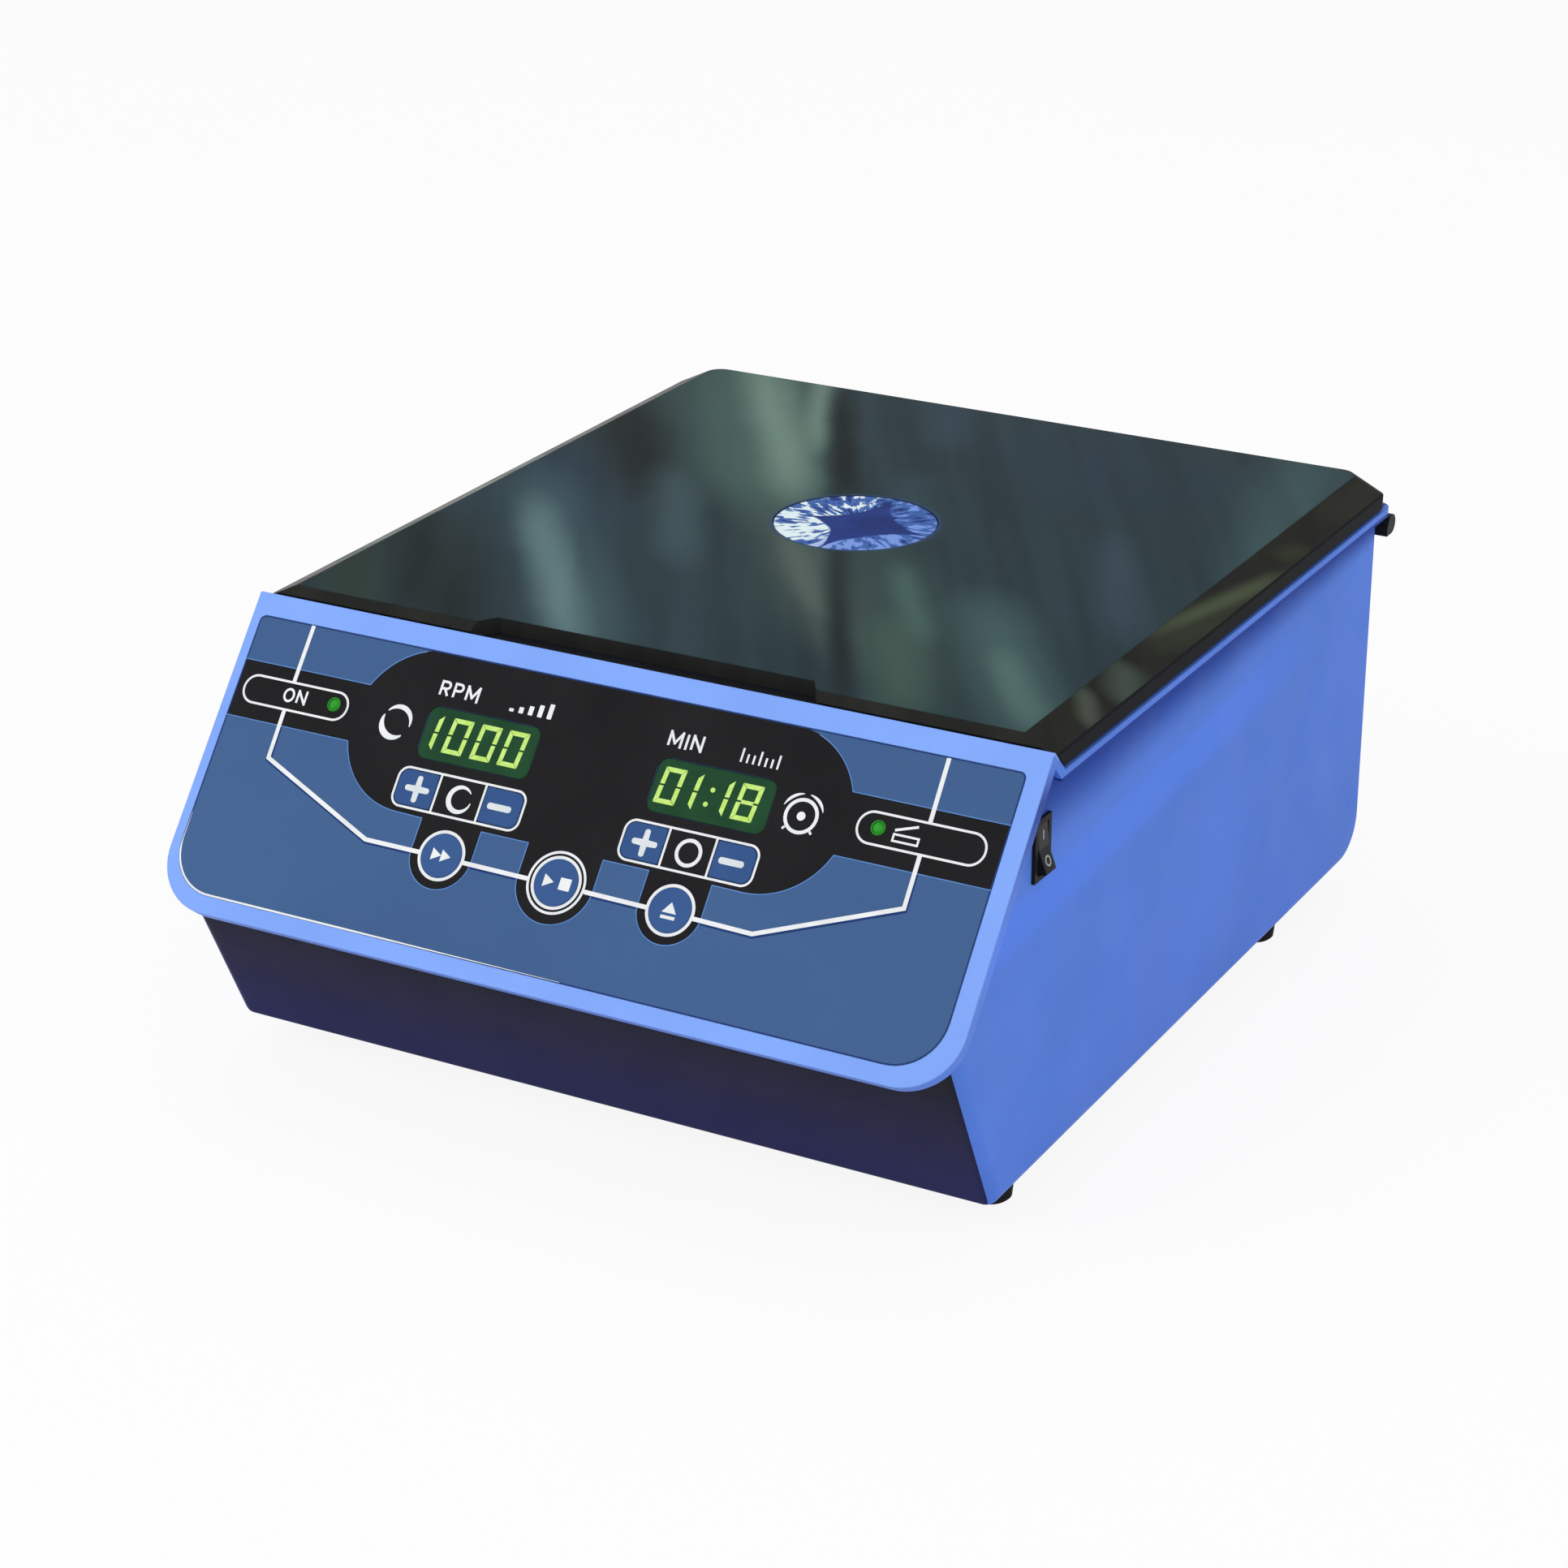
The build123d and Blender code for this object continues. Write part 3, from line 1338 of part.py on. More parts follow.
with BuildPart() as switch_frame:
    with BuildSketch(Plane.YZ.offset(half_case)):
        with Locations((switch_y, switch_z)):
            Rectangle(switch_width, switch_length)
    extrude(amount=switch_flange)
    with BuildSketch(Plane.YZ.offset(half_case)):
        with Locations((switch_y, switch_z)):
            Rectangle(switch_body_width, switch_body_length)
    extrude(amount=-switch_depth)
    with BuildSketch(Plane.YZ.offset(half_case + switch_flange)):
        with Locations((switch_y, switch_z)):
            Rectangle(rocker_width + 2 * rocker_clearance, rocker_length + 2 * rocker_clearance)
    extrude(amount=-(switch_flange + switch_pocket), mode=Mode.SUBTRACT)
    with BuildSketch(rocker_view):
        Circle(rocker_pin_radius + trunnion_fit)
    extrude(amount=rocker_width / 2 + rocker_pin_reach + rocker_pin_gap, both=True, mode=Mode.SUBTRACT)

switch_frame.part.label = "switch_frame"
export_step(switch_frame.part, "parts/switch_frame.step")

with BuildPart() as rocker:
    with BuildSketch(rocker_view):
        with BuildLine():
            Polyline(
                (rocker_crown, rocker_length / 2 - rocker_end_inset),
                (rocker_valley, 0),
                (rocker_crown, -rocker_length / 2 + rocker_end_inset),
                (0, -rocker_length / 2 + rocker_side_inset),
                (-rocker_root, -rocker_length / 3),
                (-rocker_root, rocker_length / 3),
                (0, rocker_length / 2 - rocker_side_inset),
                close=True,
            )
        make_face()
    extrude(amount=rocker_width / 2, both=True)
    with BuildSketch(rocker_view):
        Circle(rocker_pin_radius)
    extrude(amount=rocker_width / 2 + rocker_pin_reach, both=True)

rocker.part.label = "power_rocker"
export_step(rocker.part, "parts/power_rocker.step")

# ---- mains inlet in the rear wall ----
with BuildPart() as inlet:
    with BuildSketch(Plane.XZ.offset(-rear_y)):
        with Locations((inlet_across, under_z + inlet_level)):
            RectangleRounded(
                inlet_width + 2 * inlet_flange_lap, inlet_height + 2 * inlet_flange_lap, inlet_corner
            )
    extrude(amount=-inlet_flange)
    with BuildSketch(Plane.XZ.offset(-rear_y)):
        with Locations((inlet_across, under_z + inlet_level)):
            RectangleRounded(inlet_width - 2 * inlet_gap, inlet_height - 2 * inlet_gap, inlet_corner)
    extrude(amount=inlet_depth)
    with BuildSketch(Plane.XZ.offset(-(rear_y + inlet_flange))) as socket:
        with Locations((inlet_across, under_z + inlet_level)):
            Rectangle(inlet_socket_width, inlet_socket_height)
        chamfer(socket.vertices().group_by(Axis.Y)[-1], length=inlet_socket_bevel)
    extrude(amount=inlet_socket_depth + inlet_flange, mode=Mode.SUBTRACT)
    with BuildSketch(Plane.XZ.offset(-(rear_y - inlet_socket_depth))):
        with Locations((inlet_across, under_z + inlet_level)):
            with Locations((-blade_spacing, -blade_drop), (blade_spacing, -blade_drop), (0, blade_drop)):
                Rectangle(blade_width, blade_height)
    extrude(amount=-blade_length)

inlet.part.label = "power_inlet"
export_step(inlet.part, "parts/power_inlet.step")

# ---- power board on the base plate ----
power_board_x = half_case - wall - power_board_margin - power_board_width / 2
power_board_y = rear_y - inlet_depth - power_board_gap - power_board_length / 2
power_board_z = base_top_z + power_post_height
power_parts_z = power_board_z + board_thickness
power_middle = Location((power_board_x, power_board_y))

with BuildPart() as power_board:
    with BuildSketch(Plane.XY.offset(base_top_z)):
        with Locations(power_middle):
            with GridLocations(
                power_board_width - 2 * power_post_inset, power_board_length - 2 * power_post_inset, 2, 2
            ):
                Circle(power_post_radius)
    extrude(amount=power_post_height)
    with BuildSketch(Plane.XY.offset(power_board_z)):
        with Locations(power_middle):
            Rectangle(power_board_width, power_board_length)
    extrude(amount=board_thickness)
    with BuildSketch(Plane.XY.offset(power_parts_z)):
        with Locations(power_middle):
            with Locations(transformer_at):
                Rectangle(transformer_size[0], transformer_size[1])
    extrude(amount=transformer_size[2])
    with BuildSketch(Plane.XY.offset(power_parts_z)):
        with Locations(power_middle):
            with Locations(*capacitor_at):
                Circle(capacitor_radius)
    extrude(amount=capacitor_height)

power_board.part.label = "power_board"
export_step(power_board.part, "parts/power_board.step")
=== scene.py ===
import math
import bpy
import numpy as np
from mathutils import Matrix, geometry


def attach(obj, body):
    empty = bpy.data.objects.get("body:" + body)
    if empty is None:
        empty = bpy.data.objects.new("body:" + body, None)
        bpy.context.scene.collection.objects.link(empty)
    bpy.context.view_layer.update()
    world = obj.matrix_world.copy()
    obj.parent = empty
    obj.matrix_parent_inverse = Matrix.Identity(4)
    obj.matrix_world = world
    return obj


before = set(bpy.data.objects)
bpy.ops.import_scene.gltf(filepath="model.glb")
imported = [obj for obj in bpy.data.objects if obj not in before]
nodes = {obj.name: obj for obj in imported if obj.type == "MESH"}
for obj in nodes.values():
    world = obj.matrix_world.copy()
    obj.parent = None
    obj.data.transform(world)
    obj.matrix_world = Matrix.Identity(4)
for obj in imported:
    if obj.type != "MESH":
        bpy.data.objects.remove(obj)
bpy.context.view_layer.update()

scene = bpy.context.scene
mm = 0.001

# places that several pieces share, in mm: the panel's top edge and slope, the rotor's axis, the rear wall
edgeY, crestZ, panelSlope = -145.66, 201.2, math.radians(51.1)
rotorY = 47.84
rearY = 223.14
print("frame loaded:", len(nodes), "nodes")


def hexColour(code):
    # each sRGB part turned linear: c / 12.92 in the dark, ((c + 0.055) / 1.055) to the power 2.4 above
    parts = [int(code[i:i + 2], 16) / 255 for i in (1, 3, 5)]
    return [c / 12.92 if c <= 0.04045 else ((c + 0.055) / 1.055) ** 2.4 for c in parts] + [1.0]


# settings that these nodes have wherever nothing else is asked for
usual = {"MapRange": {"interpolation_type": "SMOOTHSTEP"}, "Mix": {"data_type": "RGBA"}}
noiseSpan = (0.3, 0.7)  # where nearly all of a noise's values lie


def addNode(tree, kind, inputs=(), **settings):
    # one node with its settings; each input is a value or a socket to link from; gives the node's outputs
    node = tree.nodes.new("ShaderNode" + kind)
    for field, setting in {**usual.get(kind, {}), **settings}.items():
        setattr(node, field, setting)
    for socket, value in (inputs if isinstance(inputs, dict) else dict(enumerate(inputs))).items():
        if isinstance(value, bpy.types.NodeSocket):
            tree.links.new(value, node.inputs[socket])
        else:
            node.inputs[socket].default_value = value
    return node.outputs


def newMaterial(name, values):
    # a material with these values on its shader's own sockets, and its Object coordinates
    material = bpy.data.materials.new(name)
    material.use_nodes = True
    tree = material.node_tree
    shader = tree.nodes["Principled BSDF"]
    for socket, value in values.items():
        shader.inputs[socket].default_value = value
    return material, tree, shader, addNode(tree, "TexCoord")["Object"]


def perMetre(size):
    # a noise's scale for features of this many mm
    return 1000 / size


def productOf(tree, product, *others):
    # masks and shares multiplied together: masks alone give 1 only where each of them is 1
    for other in others:
        product = addNode(tree, "Math", [product, other], operation="MULTIPLY")[0]
    return product


def coats(tree, colour, *layers):
    # colours laid one over another, each with its mask, which is 1 where it covers
    for mask, upper in layers:
        upper = hexColour(upper) if isinstance(upper, str) else upper
        colour = addNode(tree, "Mix", {0: mask, 6: colour, 7: upper})[2]
    return colour


def twoTones(tree, noise, tones, span=noiseSpan):
    # the first tone where the noise is low and the second where it is high, eased between
    return coats(tree, hexColour(tones[0]), (addNode(tree, "MapRange", [noise, *span])[0], tones[1]))


def mottled(tree, place, size, tones, detail=3.0):
    # two near tones in soft patches of this size in mm
    patches = addNode(tree, "TexNoise", {"Vector": place, "Scale": perMetre(size), "Detail": detail})[0]
    return twoTones(tree, patches, tones)


def relief(tree, shader, height, depth, soften):
    # bumps of this depth in mm, on edges that look rounded by soften mm
    bump = {"Height": height, "Strength": 1.0, "Distance": depth * mm}
    if soften:
        bump["Normal"] = addNode(tree, "Bevel", {"Radius": soften * mm}, samples=4)[0]
    tree.links.new(addNode(tree, "Bump", bump)[0], shader.inputs["Normal"])


def moulded(name, look, paint=None):
    # plastic, rubber, film or ink: two near tones or its own paint, handled gloss, and a fine grain;
    # real grain is a tenth of a millimetre or less, so it is drawn several times coarser, to show
    material, tree, shader, place = newMaterial(name, {
        "Roughness": look["rough"], "Specular IOR Level": look.get("specular", 0.35), "IOR": look.get("ior", 1.5),
        **look.get("shader", {})})
    colour = paint(tree, place) if paint else mottled(tree, place, look["mottle"], look["tones"], 4.0)
    tree.links.new(colour, shader.inputs["Base Color"])
    smudgeSize, spread = 25.0, look.get("spread", 0.05)
    smudges = addNode(tree, "TexNoise", {"Vector": place, "Scale": perMetre(smudgeSize), "Detail": 5.0})[0]
    gloss = addNode(tree, "MapRange", [smudges, *noiseSpan, look["rough"] - spread, look["rough"] + spread])[0]
    tree.links.new(gloss, shader.inputs["Roughness"])
    grain = addNode(tree, "TexNoise", {"Vector": place, "Scale": perMetre(look["grain"]), "Detail": 2.0})[0]
    relief(tree, shader, grain, look["depth"], look.get("soften", 0.0))
    return material


def brushed(name, look, centre=None):
    # metal with fine lines, straight along an axis, or rings about an upright axis through centre;
    # real lines are 0.05 to 0.1 mm apart, so they are drawn about ten times coarser, to show
    material, tree, shader, place = newMaterial(name, {"Metallic": 1.0, "Roughness": look["rough"]})
    if centre:
        axis = (centre[0] * mm, centre[1] * mm, 0.0)
        moved = addNode(tree, "VectorMath", [place, axis], operation="SUBTRACT")[0]
        x, y, z = addNode(tree, "SeparateXYZ", [moved])
        plan = addNode(tree, "CombineXYZ", [x, y])[0]
        radius = addNode(tree, "VectorMath", [plan], operation="LENGTH")["Value"]
        place = drawn = addNode(tree, "CombineXYZ", [radius, 0.0, z])[0]
    else:
        drawn = addNode(tree, "Mapping", {"Vector": place, "Scale": look["stretch"]})[0]
    lines = addNode(tree, "TexNoise", {"Vector": drawn, "Scale": perMetre(look["line"]), "Detail": 3.0})[0]
    broad = addNode(tree, "TexNoise", {"Vector": place, "Scale": perMetre(look["mottle"]), "Detail": 3.0})[0]
    both = addNode(tree, "Math", [productOf(tree, lines, 0.5), productOf(tree, broad, 0.5)], operation="ADD")[0]
    tree.links.new(twoTones(tree, both, look["tones"], (0.35, 0.65)), shader.inputs["Base Color"])
    spread, soften = 0.07, 0.3
    gloss = addNode(tree, "MapRange", [lines, *noiseSpan, look["rough"] - spread, look["rough"] + spread])[0]
    tree.links.new(gloss, shader.inputs["Roughness"])
    relief(tree, shader, lines, look["depth"], soften)
    return material


# camera where the front and the right-hand side show: a long lens, degrees down and round
view = {"lens": 88.30, "sensor": 36.0, "at": (0.764353, -1.414419, 0.781730), "down": 23.16, "round": 28.722}
# square soft boxes: place and size in metres, power in watts; they aim at the middle of the object
studio = {
    "aim": (0.0, 0.0, 0.10), "world": 0.62, "floorWhite": 0.90,
    "boxes": {
        "key_light": ((-1.3, -2.0, 1.9), 1.6, 26.0),
        "fill_light": ((2.4, -0.6, 1.3), 1.8, 12.0),
        "top_light": ((-0.2, 0.6, 2.6), 1.8, 7.0)},
}

lens = bpy.data.cameras.new("view_camera")
lens.lens = view["lens"]
lens.sensor_width = view["sensor"]
lens.clip_start = 0.02
camera = bpy.data.objects.new("view_camera", lens)
camera.location = view["at"]
camera.rotation_euler = (math.radians(90 - view["down"]), 0.0, math.radians(view["round"]))
scene.collection.objects.link(camera)
scene.camera = camera
scene.view_settings.view_transform = "Standard"


def seenRay(tree):
    # 1 for the rays that show the surroundings: straight, mirrored and through glass
    path = addNode(tree, "LightPath")
    seen = addNode(tree, "Math", [path["Is Camera Ray"], path["Is Glossy Ray"]], operation="MAXIMUM")[0]
    return addNode(tree, "Math", [seen, path["Is Transmission Ray"]], operation="MAXIMUM")[0]


white = hexColour("#FFFFFF")
world = bpy.data.worlds.new("studio")
world.use_nodes = True
scene.world = world
sky = world.node_tree
sky.nodes.clear()
light = addNode(sky, "Background", {"Color": white, "Strength": studio["world"]})[0]
backdrop = addNode(sky, "Background", {"Color": white, "Strength": 1.0})[0]
addNode(sky, "OutputWorld", {"Surface": addNode(sky, "MixShader", [seenRay(sky), light, backdrop])[0]})

for name, (at, size, power) in studio["boxes"].items():
    lamp = bpy.data.lights.new(name, "AREA")
    lamp.energy = power
    lamp.size = size
    holder = bpy.data.objects.new(name, lamp)
    out = np.array(at) - np.array(studio["aim"])
    out = out / np.linalg.norm(out)
    side = np.cross((0.0, 0.0, 1.0), out)
    side = side / np.linalg.norm(side)
    upward = np.cross(out, side)
    holder.matrix_world = Matrix([[side[i], upward[i], out[i], at[i]] for i in range(3)] + [[0, 0, 0, 1]])
    scene.collection.objects.link(holder)

# floor of white paper: a matt sheet that shows as white, and still takes the object's shadow
floorMesh = bpy.data.meshes.new("studio_floor")
floorMesh.from_pydata([(-8, -8, 0), (8, -8, 0), (8, 8, 0), (-8, 8, 0)], [], [(0, 1, 2, 3)])
floor = bpy.data.objects.new("studio_floor", floorMesh)
scene.collection.objects.link(floor)
paper, tree, shader, place = newMaterial("white_paper", {"Roughness": 0.9, "Specular IOR Level": 0.1})
tree.links.new(mottled(tree, place, 400.0, ("#F4F4F2", "#F7F7F6")), shader.inputs["Base Color"])
glow = addNode(tree, "Emission", {"Color": white, "Strength": 1.0})[0]
share = productOf(tree, seenRay(tree), studio["floorWhite"])
shown = addNode(tree, "MixShader", [share, shader.outputs[0], glow])[0]
tree.links.new(shown, tree.nodes["Material Output"].inputs["Surface"])
floorMesh.materials.append(paper)
print("camera, light and floor set")


# case: injection-moulded ABS in one colour, which gives the eye a flat satin blue with hardly any grain.
# Its walls are painted darker under the rim as shade, with a painted light band below that, and its undercut front
# is painted navy as shade. Heights and distances are in mm, and skin is how near to a plane still counts as on it
caseLook = {
    "tones": ("#567FDB", "#5B84E6"), "mottle": 90.0, "rough": 0.42, "specular": 0.03,
    "grain": 0.9, "depth": 0.012, "soften": 0.8, "skin": 0.6,
    "toe": (-181.96, 14.0), "frontSlope": 64.0, "frontHalf": 186.2, "frontLimit": 100.0,
    # painted shade on the undercut front: navy tones, darker upwards
    "front": ("#28295A", "#272745", "#222229"), "frontTop": 92.0,
    # painted shade under the rim's overhang: its colour, where it starts, how it rises to the rear, and where it
    # ends
    "underRim": "#1B3F9A", "shadeFrom": 159.0, "shadeFall": 0.055, "shadeTo": 185.0,
    "lip": (187.15, 187.25), "wallHalf": 185.6, "wallFace": 187.4,
    # painted light band just below the painted shade: its colour, share, fades and reach
    "band": "#5887F6", "bandShare": 0.7, "bandFades": (40.0, 180.0), "bandReach": (32.0, 18.0, 9.0, -1.0),
}


def caseBlue(tree, place, lip):
    # blue with painted shade that deepens up the outer walls to the rim's overhang, from lower down towards the
    # front, and a painted light band just below where it deepens; on the rim itself the painted shade ends at the
    # lip
    x, y, z = addNode(tree, "SeparateXYZ", [place])
    across = addNode(tree, "Math", [x], operation="ABSOLUTE")[0]
    blue = mottled(tree, place, caseLook["mottle"], caseLook["tones"], 4.0)
    side = addNode(tree, "Math", [across, caseLook["wallHalf"] * mm], operation="GREATER_THAN")[0]
    rear = addNode(tree, "Math", [y, (rearY - caseLook["skin"]) * mm], operation="GREATER_THAN")[0]
    outer = addNode(tree, "Math", [side, rear], operation="MAXIMUM")[0]
    rise = productOf(tree, y, caseLook["shadeFall"])
    start = addNode(tree, "Math", [caseLook["shadeFrom"] * mm, rise], operation="ADD")[0]

    below = addNode(tree, "Math", [start, z], operation="SUBTRACT")[0]
    far, near, close, last = [reach * mm for reach in caseLook["bandReach"]]
    foot = addNode(tree, "MapRange", [below, near, far, 1.0, 0.0])[0]
    head = addNode(tree, "MapRange", [below, last, close])[0]
    front, back = [level * mm for level in caseLook["bandFades"]]
    forward = addNode(tree, "MapRange", [y, front, back, caseLook["bandShare"], 0.0])[0]
    band = productOf(tree, foot, head, side, forward)

    deep = addNode(tree, "MapRange", [z, start, caseLook["shadeTo"] * mm])[0]
    inward = addNode(tree, "Math", [across, caseLook["wallFace"] * mm], operation="LESS_THAN")[0]
    underLip = addNode(tree, "MapRange", [z, lip[0] * mm, lip[1] * mm, 1.0, 0.0])[0]
    under = addNode(tree, "Math", [productOf(tree, inward, side), underLip], operation="MAXIMUM")[0]
    shade = productOf(tree, deep, under, outer)
    return coats(tree, blue, (band, caseLook["band"]), (shade, caseLook["underRim"]))


def casePaint(tree, place):
    # the undercut front, found by its distance from the plane through its foot, is painted navy as shade, darker
    # upwards under the bezel
    blue = caseBlue(tree, place, caseLook["lip"])
    parts = addNode(tree, "SeparateXYZ", [place])
    turn = math.radians(caseLook["frontSlope"])
    toe = (0.0, caseLook["toe"][0] * mm, caseLook["toe"][1] * mm)
    outward = (0.0, -math.sin(turn), -math.cos(turn))
    fromToe = addNode(tree, "VectorMath", [place, toe], operation="SUBTRACT")[0]
    gap = addNode(tree, "VectorMath", [fromToe, outward], operation="DOT_PRODUCT")["Value"]
    across = addNode(tree, "Math", [parts["X"]], operation="ABSOLUTE")[0]
    onFront = addNode(tree, "Math", [gap, -caseLook["skin"] * mm], operation="GREATER_THAN")[0]
    inside = addNode(tree, "Math", [across, caseLook["frontHalf"] * mm], operation="LESS_THAN")[0]
    below = addNode(tree, "Math", [parts["Z"], caseLook["frontLimit"] * mm], operation="LESS_THAN")[0]
    span = [parts["Z"], caseLook["toe"][1] * mm, caseLook["frontTop"] * mm]
    level = addNode(tree, "MapRange", span, interpolation_type="LINEAR")[0]
    lower = addNode(tree, "MapRange", [level, 0.0, 0.6])[0]
    upper = addNode(tree, "MapRange", [level, 0.5, 1.0])[0]
    low, middle, high = caseLook["front"]
    navy = coats(tree, hexColour(low), (lower, middle), (upper, high))
    return coats(tree, blue, (productOf(tree, onFront, inside, below), navy))


# bezel: ABS sprayed on its face only, which gives the eye a paler, cleaner blue with a crisp edge; the face is
# partly painted light, made paler than the walls for the light it catches
bezelLook = {
    "tones": ("#7FA5F6", "#84ACFD"), "mottle": 60.0, "rough": 0.38, "specular": 0.08, "grain": 0.8, "depth": 0.008,
    "soften": 0.6, "faceDepth": 0.4, "topEdge": 1.2, "lip": (181.0, 199.0),
}


def bezelPaint(tree, place):
    # painted face and top edge, paler partly as painted light; its sides, further than faceDepth behind the face,
    # keep the case's blue with its painted shade and painted light band
    down = (0.0, -math.cos(panelSlope), -math.sin(panelSlope))
    out = (0.0, -math.sin(panelSlope), math.cos(panelSlope))
    fromTop = addNode(tree, "VectorMath", [place, (0.0, edgeY * mm, crestZ * mm)], operation="SUBTRACT")[0]
    lift = addNode(tree, "VectorMath", [fromTop, out], operation="DOT_PRODUCT")["Value"]
    along = addNode(tree, "VectorMath", [fromTop, down], operation="DOT_PRODUCT")["Value"]
    behind = addNode(tree, "Math", [lift, -bezelLook["faceDepth"] * mm], operation="LESS_THAN")[0]
    belowTop = addNode(tree, "Math", [along, bezelLook["topEdge"] * mm], operation="GREATER_THAN")[0]
    face = mottled(tree, place, bezelLook["mottle"], bezelLook["tones"], 4.0)
    return coats(tree, face, (productOf(tree, behind, belowTop), caseBlue(tree, place, bezelLook["lip"])))


finishes = {
    "case_blue": moulded("moulded_abs_blue", caseLook, casePaint),
    "bezel_blue": moulded("painted_abs_light_blue", bezelLook, bezelPaint),
    # polyester film printed from behind: flat dull blue, with no gloss to show fingers
    "panel_print": moulded("printed_polyester_blue", {
        "tones": ("#415F8D", "#456492"), "mottle": 140.0, "rough": 0.45, "specular": 0.03,
        "grain": 0.5, "depth": 0.004}),
    # the same film domed over the keys: a darker blue with soft edges
    "key_blue": moulded("domed_polyester_blue", {
        "tones": ("#345489", "#38588D"), "mottle": 20.0, "rough": 0.42, "specular": 0.03,
        "grain": 0.5, "depth": 0.004, "soften": 0.3}),
    "key_navy": moulded("domed_polyester_navy", {
        "tones": ("#395A90", "#3C5D93"), "mottle": 20.0, "rough": 0.42, "specular": 0.03,
        "grain": 0.5, "depth": 0.004, "soften": 0.3}),
    # powder coat, baked on steel: near black with a faint orange peel that breaks up its shine
    "black_steel": moulded("powder_coated_steel", {
        "tones": ("#191A1C", "#202124"), "mottle": 30.0, "rough": 0.5, "specular": 0.08,
        "grain": 1.4, "depth": 0.03, "soften": 0.4}),
    # moulded rubber: dull charcoal with no highlights
    "black_rubber": moulded("moulded_rubber", {
        "tones": ("#1A1A1B", "#222223"), "mottle": 12.0, "rough": 0.8, "specular": 0.08,
        "grain": 0.7, "depth": 0.02, "soften": 0.4}),
    # nylon from a spark-eroded mould: black with a fine matt texture
    "black_plastic": moulded("moulded_nylon_black", {
        "tones": ("#1A1B1D", "#212225"), "mottle": 18.0, "rough": 0.5, "specular": 0.06,
        "grain": 0.8, "depth": 0.015, "soften": 0.3}),
    # nylon from a polished mould: the rocker shines a little where fingers press it
    "rocker_black": moulded("polished_nylon_black", {
        "tones": ("#18191B", "#1F2124"), "mottle": 10.0, "rough": 0.28, "specular": 0.08,
        "grain": 1.2, "depth": 0.004, "soften": 0.3}),
    # ABS sheet drawn over a form by vacuum: satin grey with gently rounded edges
    "liner_grey": moulded("vacuum_formed_abs_grey", {
        "tones": ("#9A9EA3", "#A5A9AD"), "mottle": 50.0, "rough": 0.5, "grain": 1.0, "depth": 0.02, "soften": 0.5}),
    # moulded polypropylene: milky white that lets a little light in, waxy at its edges
    "white_polypropylene": moulded("moulded_polypropylene_white", {
        "tones": ("#E3E5E1", "#EDEEEA"), "mottle": 15.0, "rough": 0.45, "ior": 1.49, "grain": 0.8, "depth": 0.01,
        "soften": 0.3, "shader": {"Subsurface Weight": 0.15, "Subsurface Scale": 0.002}}),
    # stainless steel spun on a lathe: bright, with rings about the rotor's axis that draw its highlights out
    "stainless_steel": brushed("turned_stainless_steel", {
        "tones": ("#B4B7BA", "#CDD0D2"), "line": 0.8, "mottle": 40.0, "rough": 0.28,
        "depth": 0.004}, (0.0, rotorY)),
    # sheet steel with a zinc plate: a duller grey, clouded, with rolling marks across
    "zinc_steel": brushed("zinc_plated_steel", {
        "tones": ("#A9ACA9", "#C4C6C2"), "line": 1.2, "mottle": 9.0, "rough": 0.38, "depth": 0.006,
        "stretch": (0.1, 1.0, 1.0)}),
    # hard-rolled spring strip: the brightest metal, with fine marks up its length
    "spring_steel": brushed("rolled_spring_steel", {
        "tones": ("#B9BCBF", "#D6D8DA"), "line": 0.6, "mottle": 20.0, "rough": 0.22, "depth": 0.003,
        "stretch": (1.0, 1.0, 0.08)}),
    # aluminium turned and anodised: an even, silky grey with the tool's rings under it
    "anodised_aluminium": brushed("turned_anodised_aluminium", {
        "tones": ("#A3A7AB", "#BCC0C3"), "line": 0.7, "mottle": 30.0, "rough": 0.36,
        "depth": 0.003}, (0.0, rotorY)),
}
print("case, panel and metal finishes made")


# lid: smoked polycarbonate, thermoformed and polished; it gives the eye a deep grey-green, with soft
# slanting streaks of painted reflection over it
lidLook = {
    # one plastic in three tones, top, bevels and skirt, lighter and darker for how each face takes the light, as
    # painted light; the skirt's tone is painted shade; the light and dark tones after them are painted reflection
    "top": ("#26363C", "#2B3C43"), "side": ("#262724", "#2C2D29"), "skirt": "#1F2024",
    "glint": "#3C5359", "dusk": "#1D282B", "topLevel": 204.95, "bevelFoot": 198.2, "bevelFront": -138.0,
    "streakTurn": -60.0, "streak": 15.0, "sideStreak": 16.0, "noiseShare": 0.2, "wander": (60.0, 3.0),
    "glow": "#304A72", "glowFrom": 37.5, "glowTo": 40.5, "glowShare": 0.75,
    "rough": 0.25, "specular": 0.004, "spread": 0.04, "ior": 1.58, "grain": 3.0, "depth": 0.003, "soften": 0.5,
}
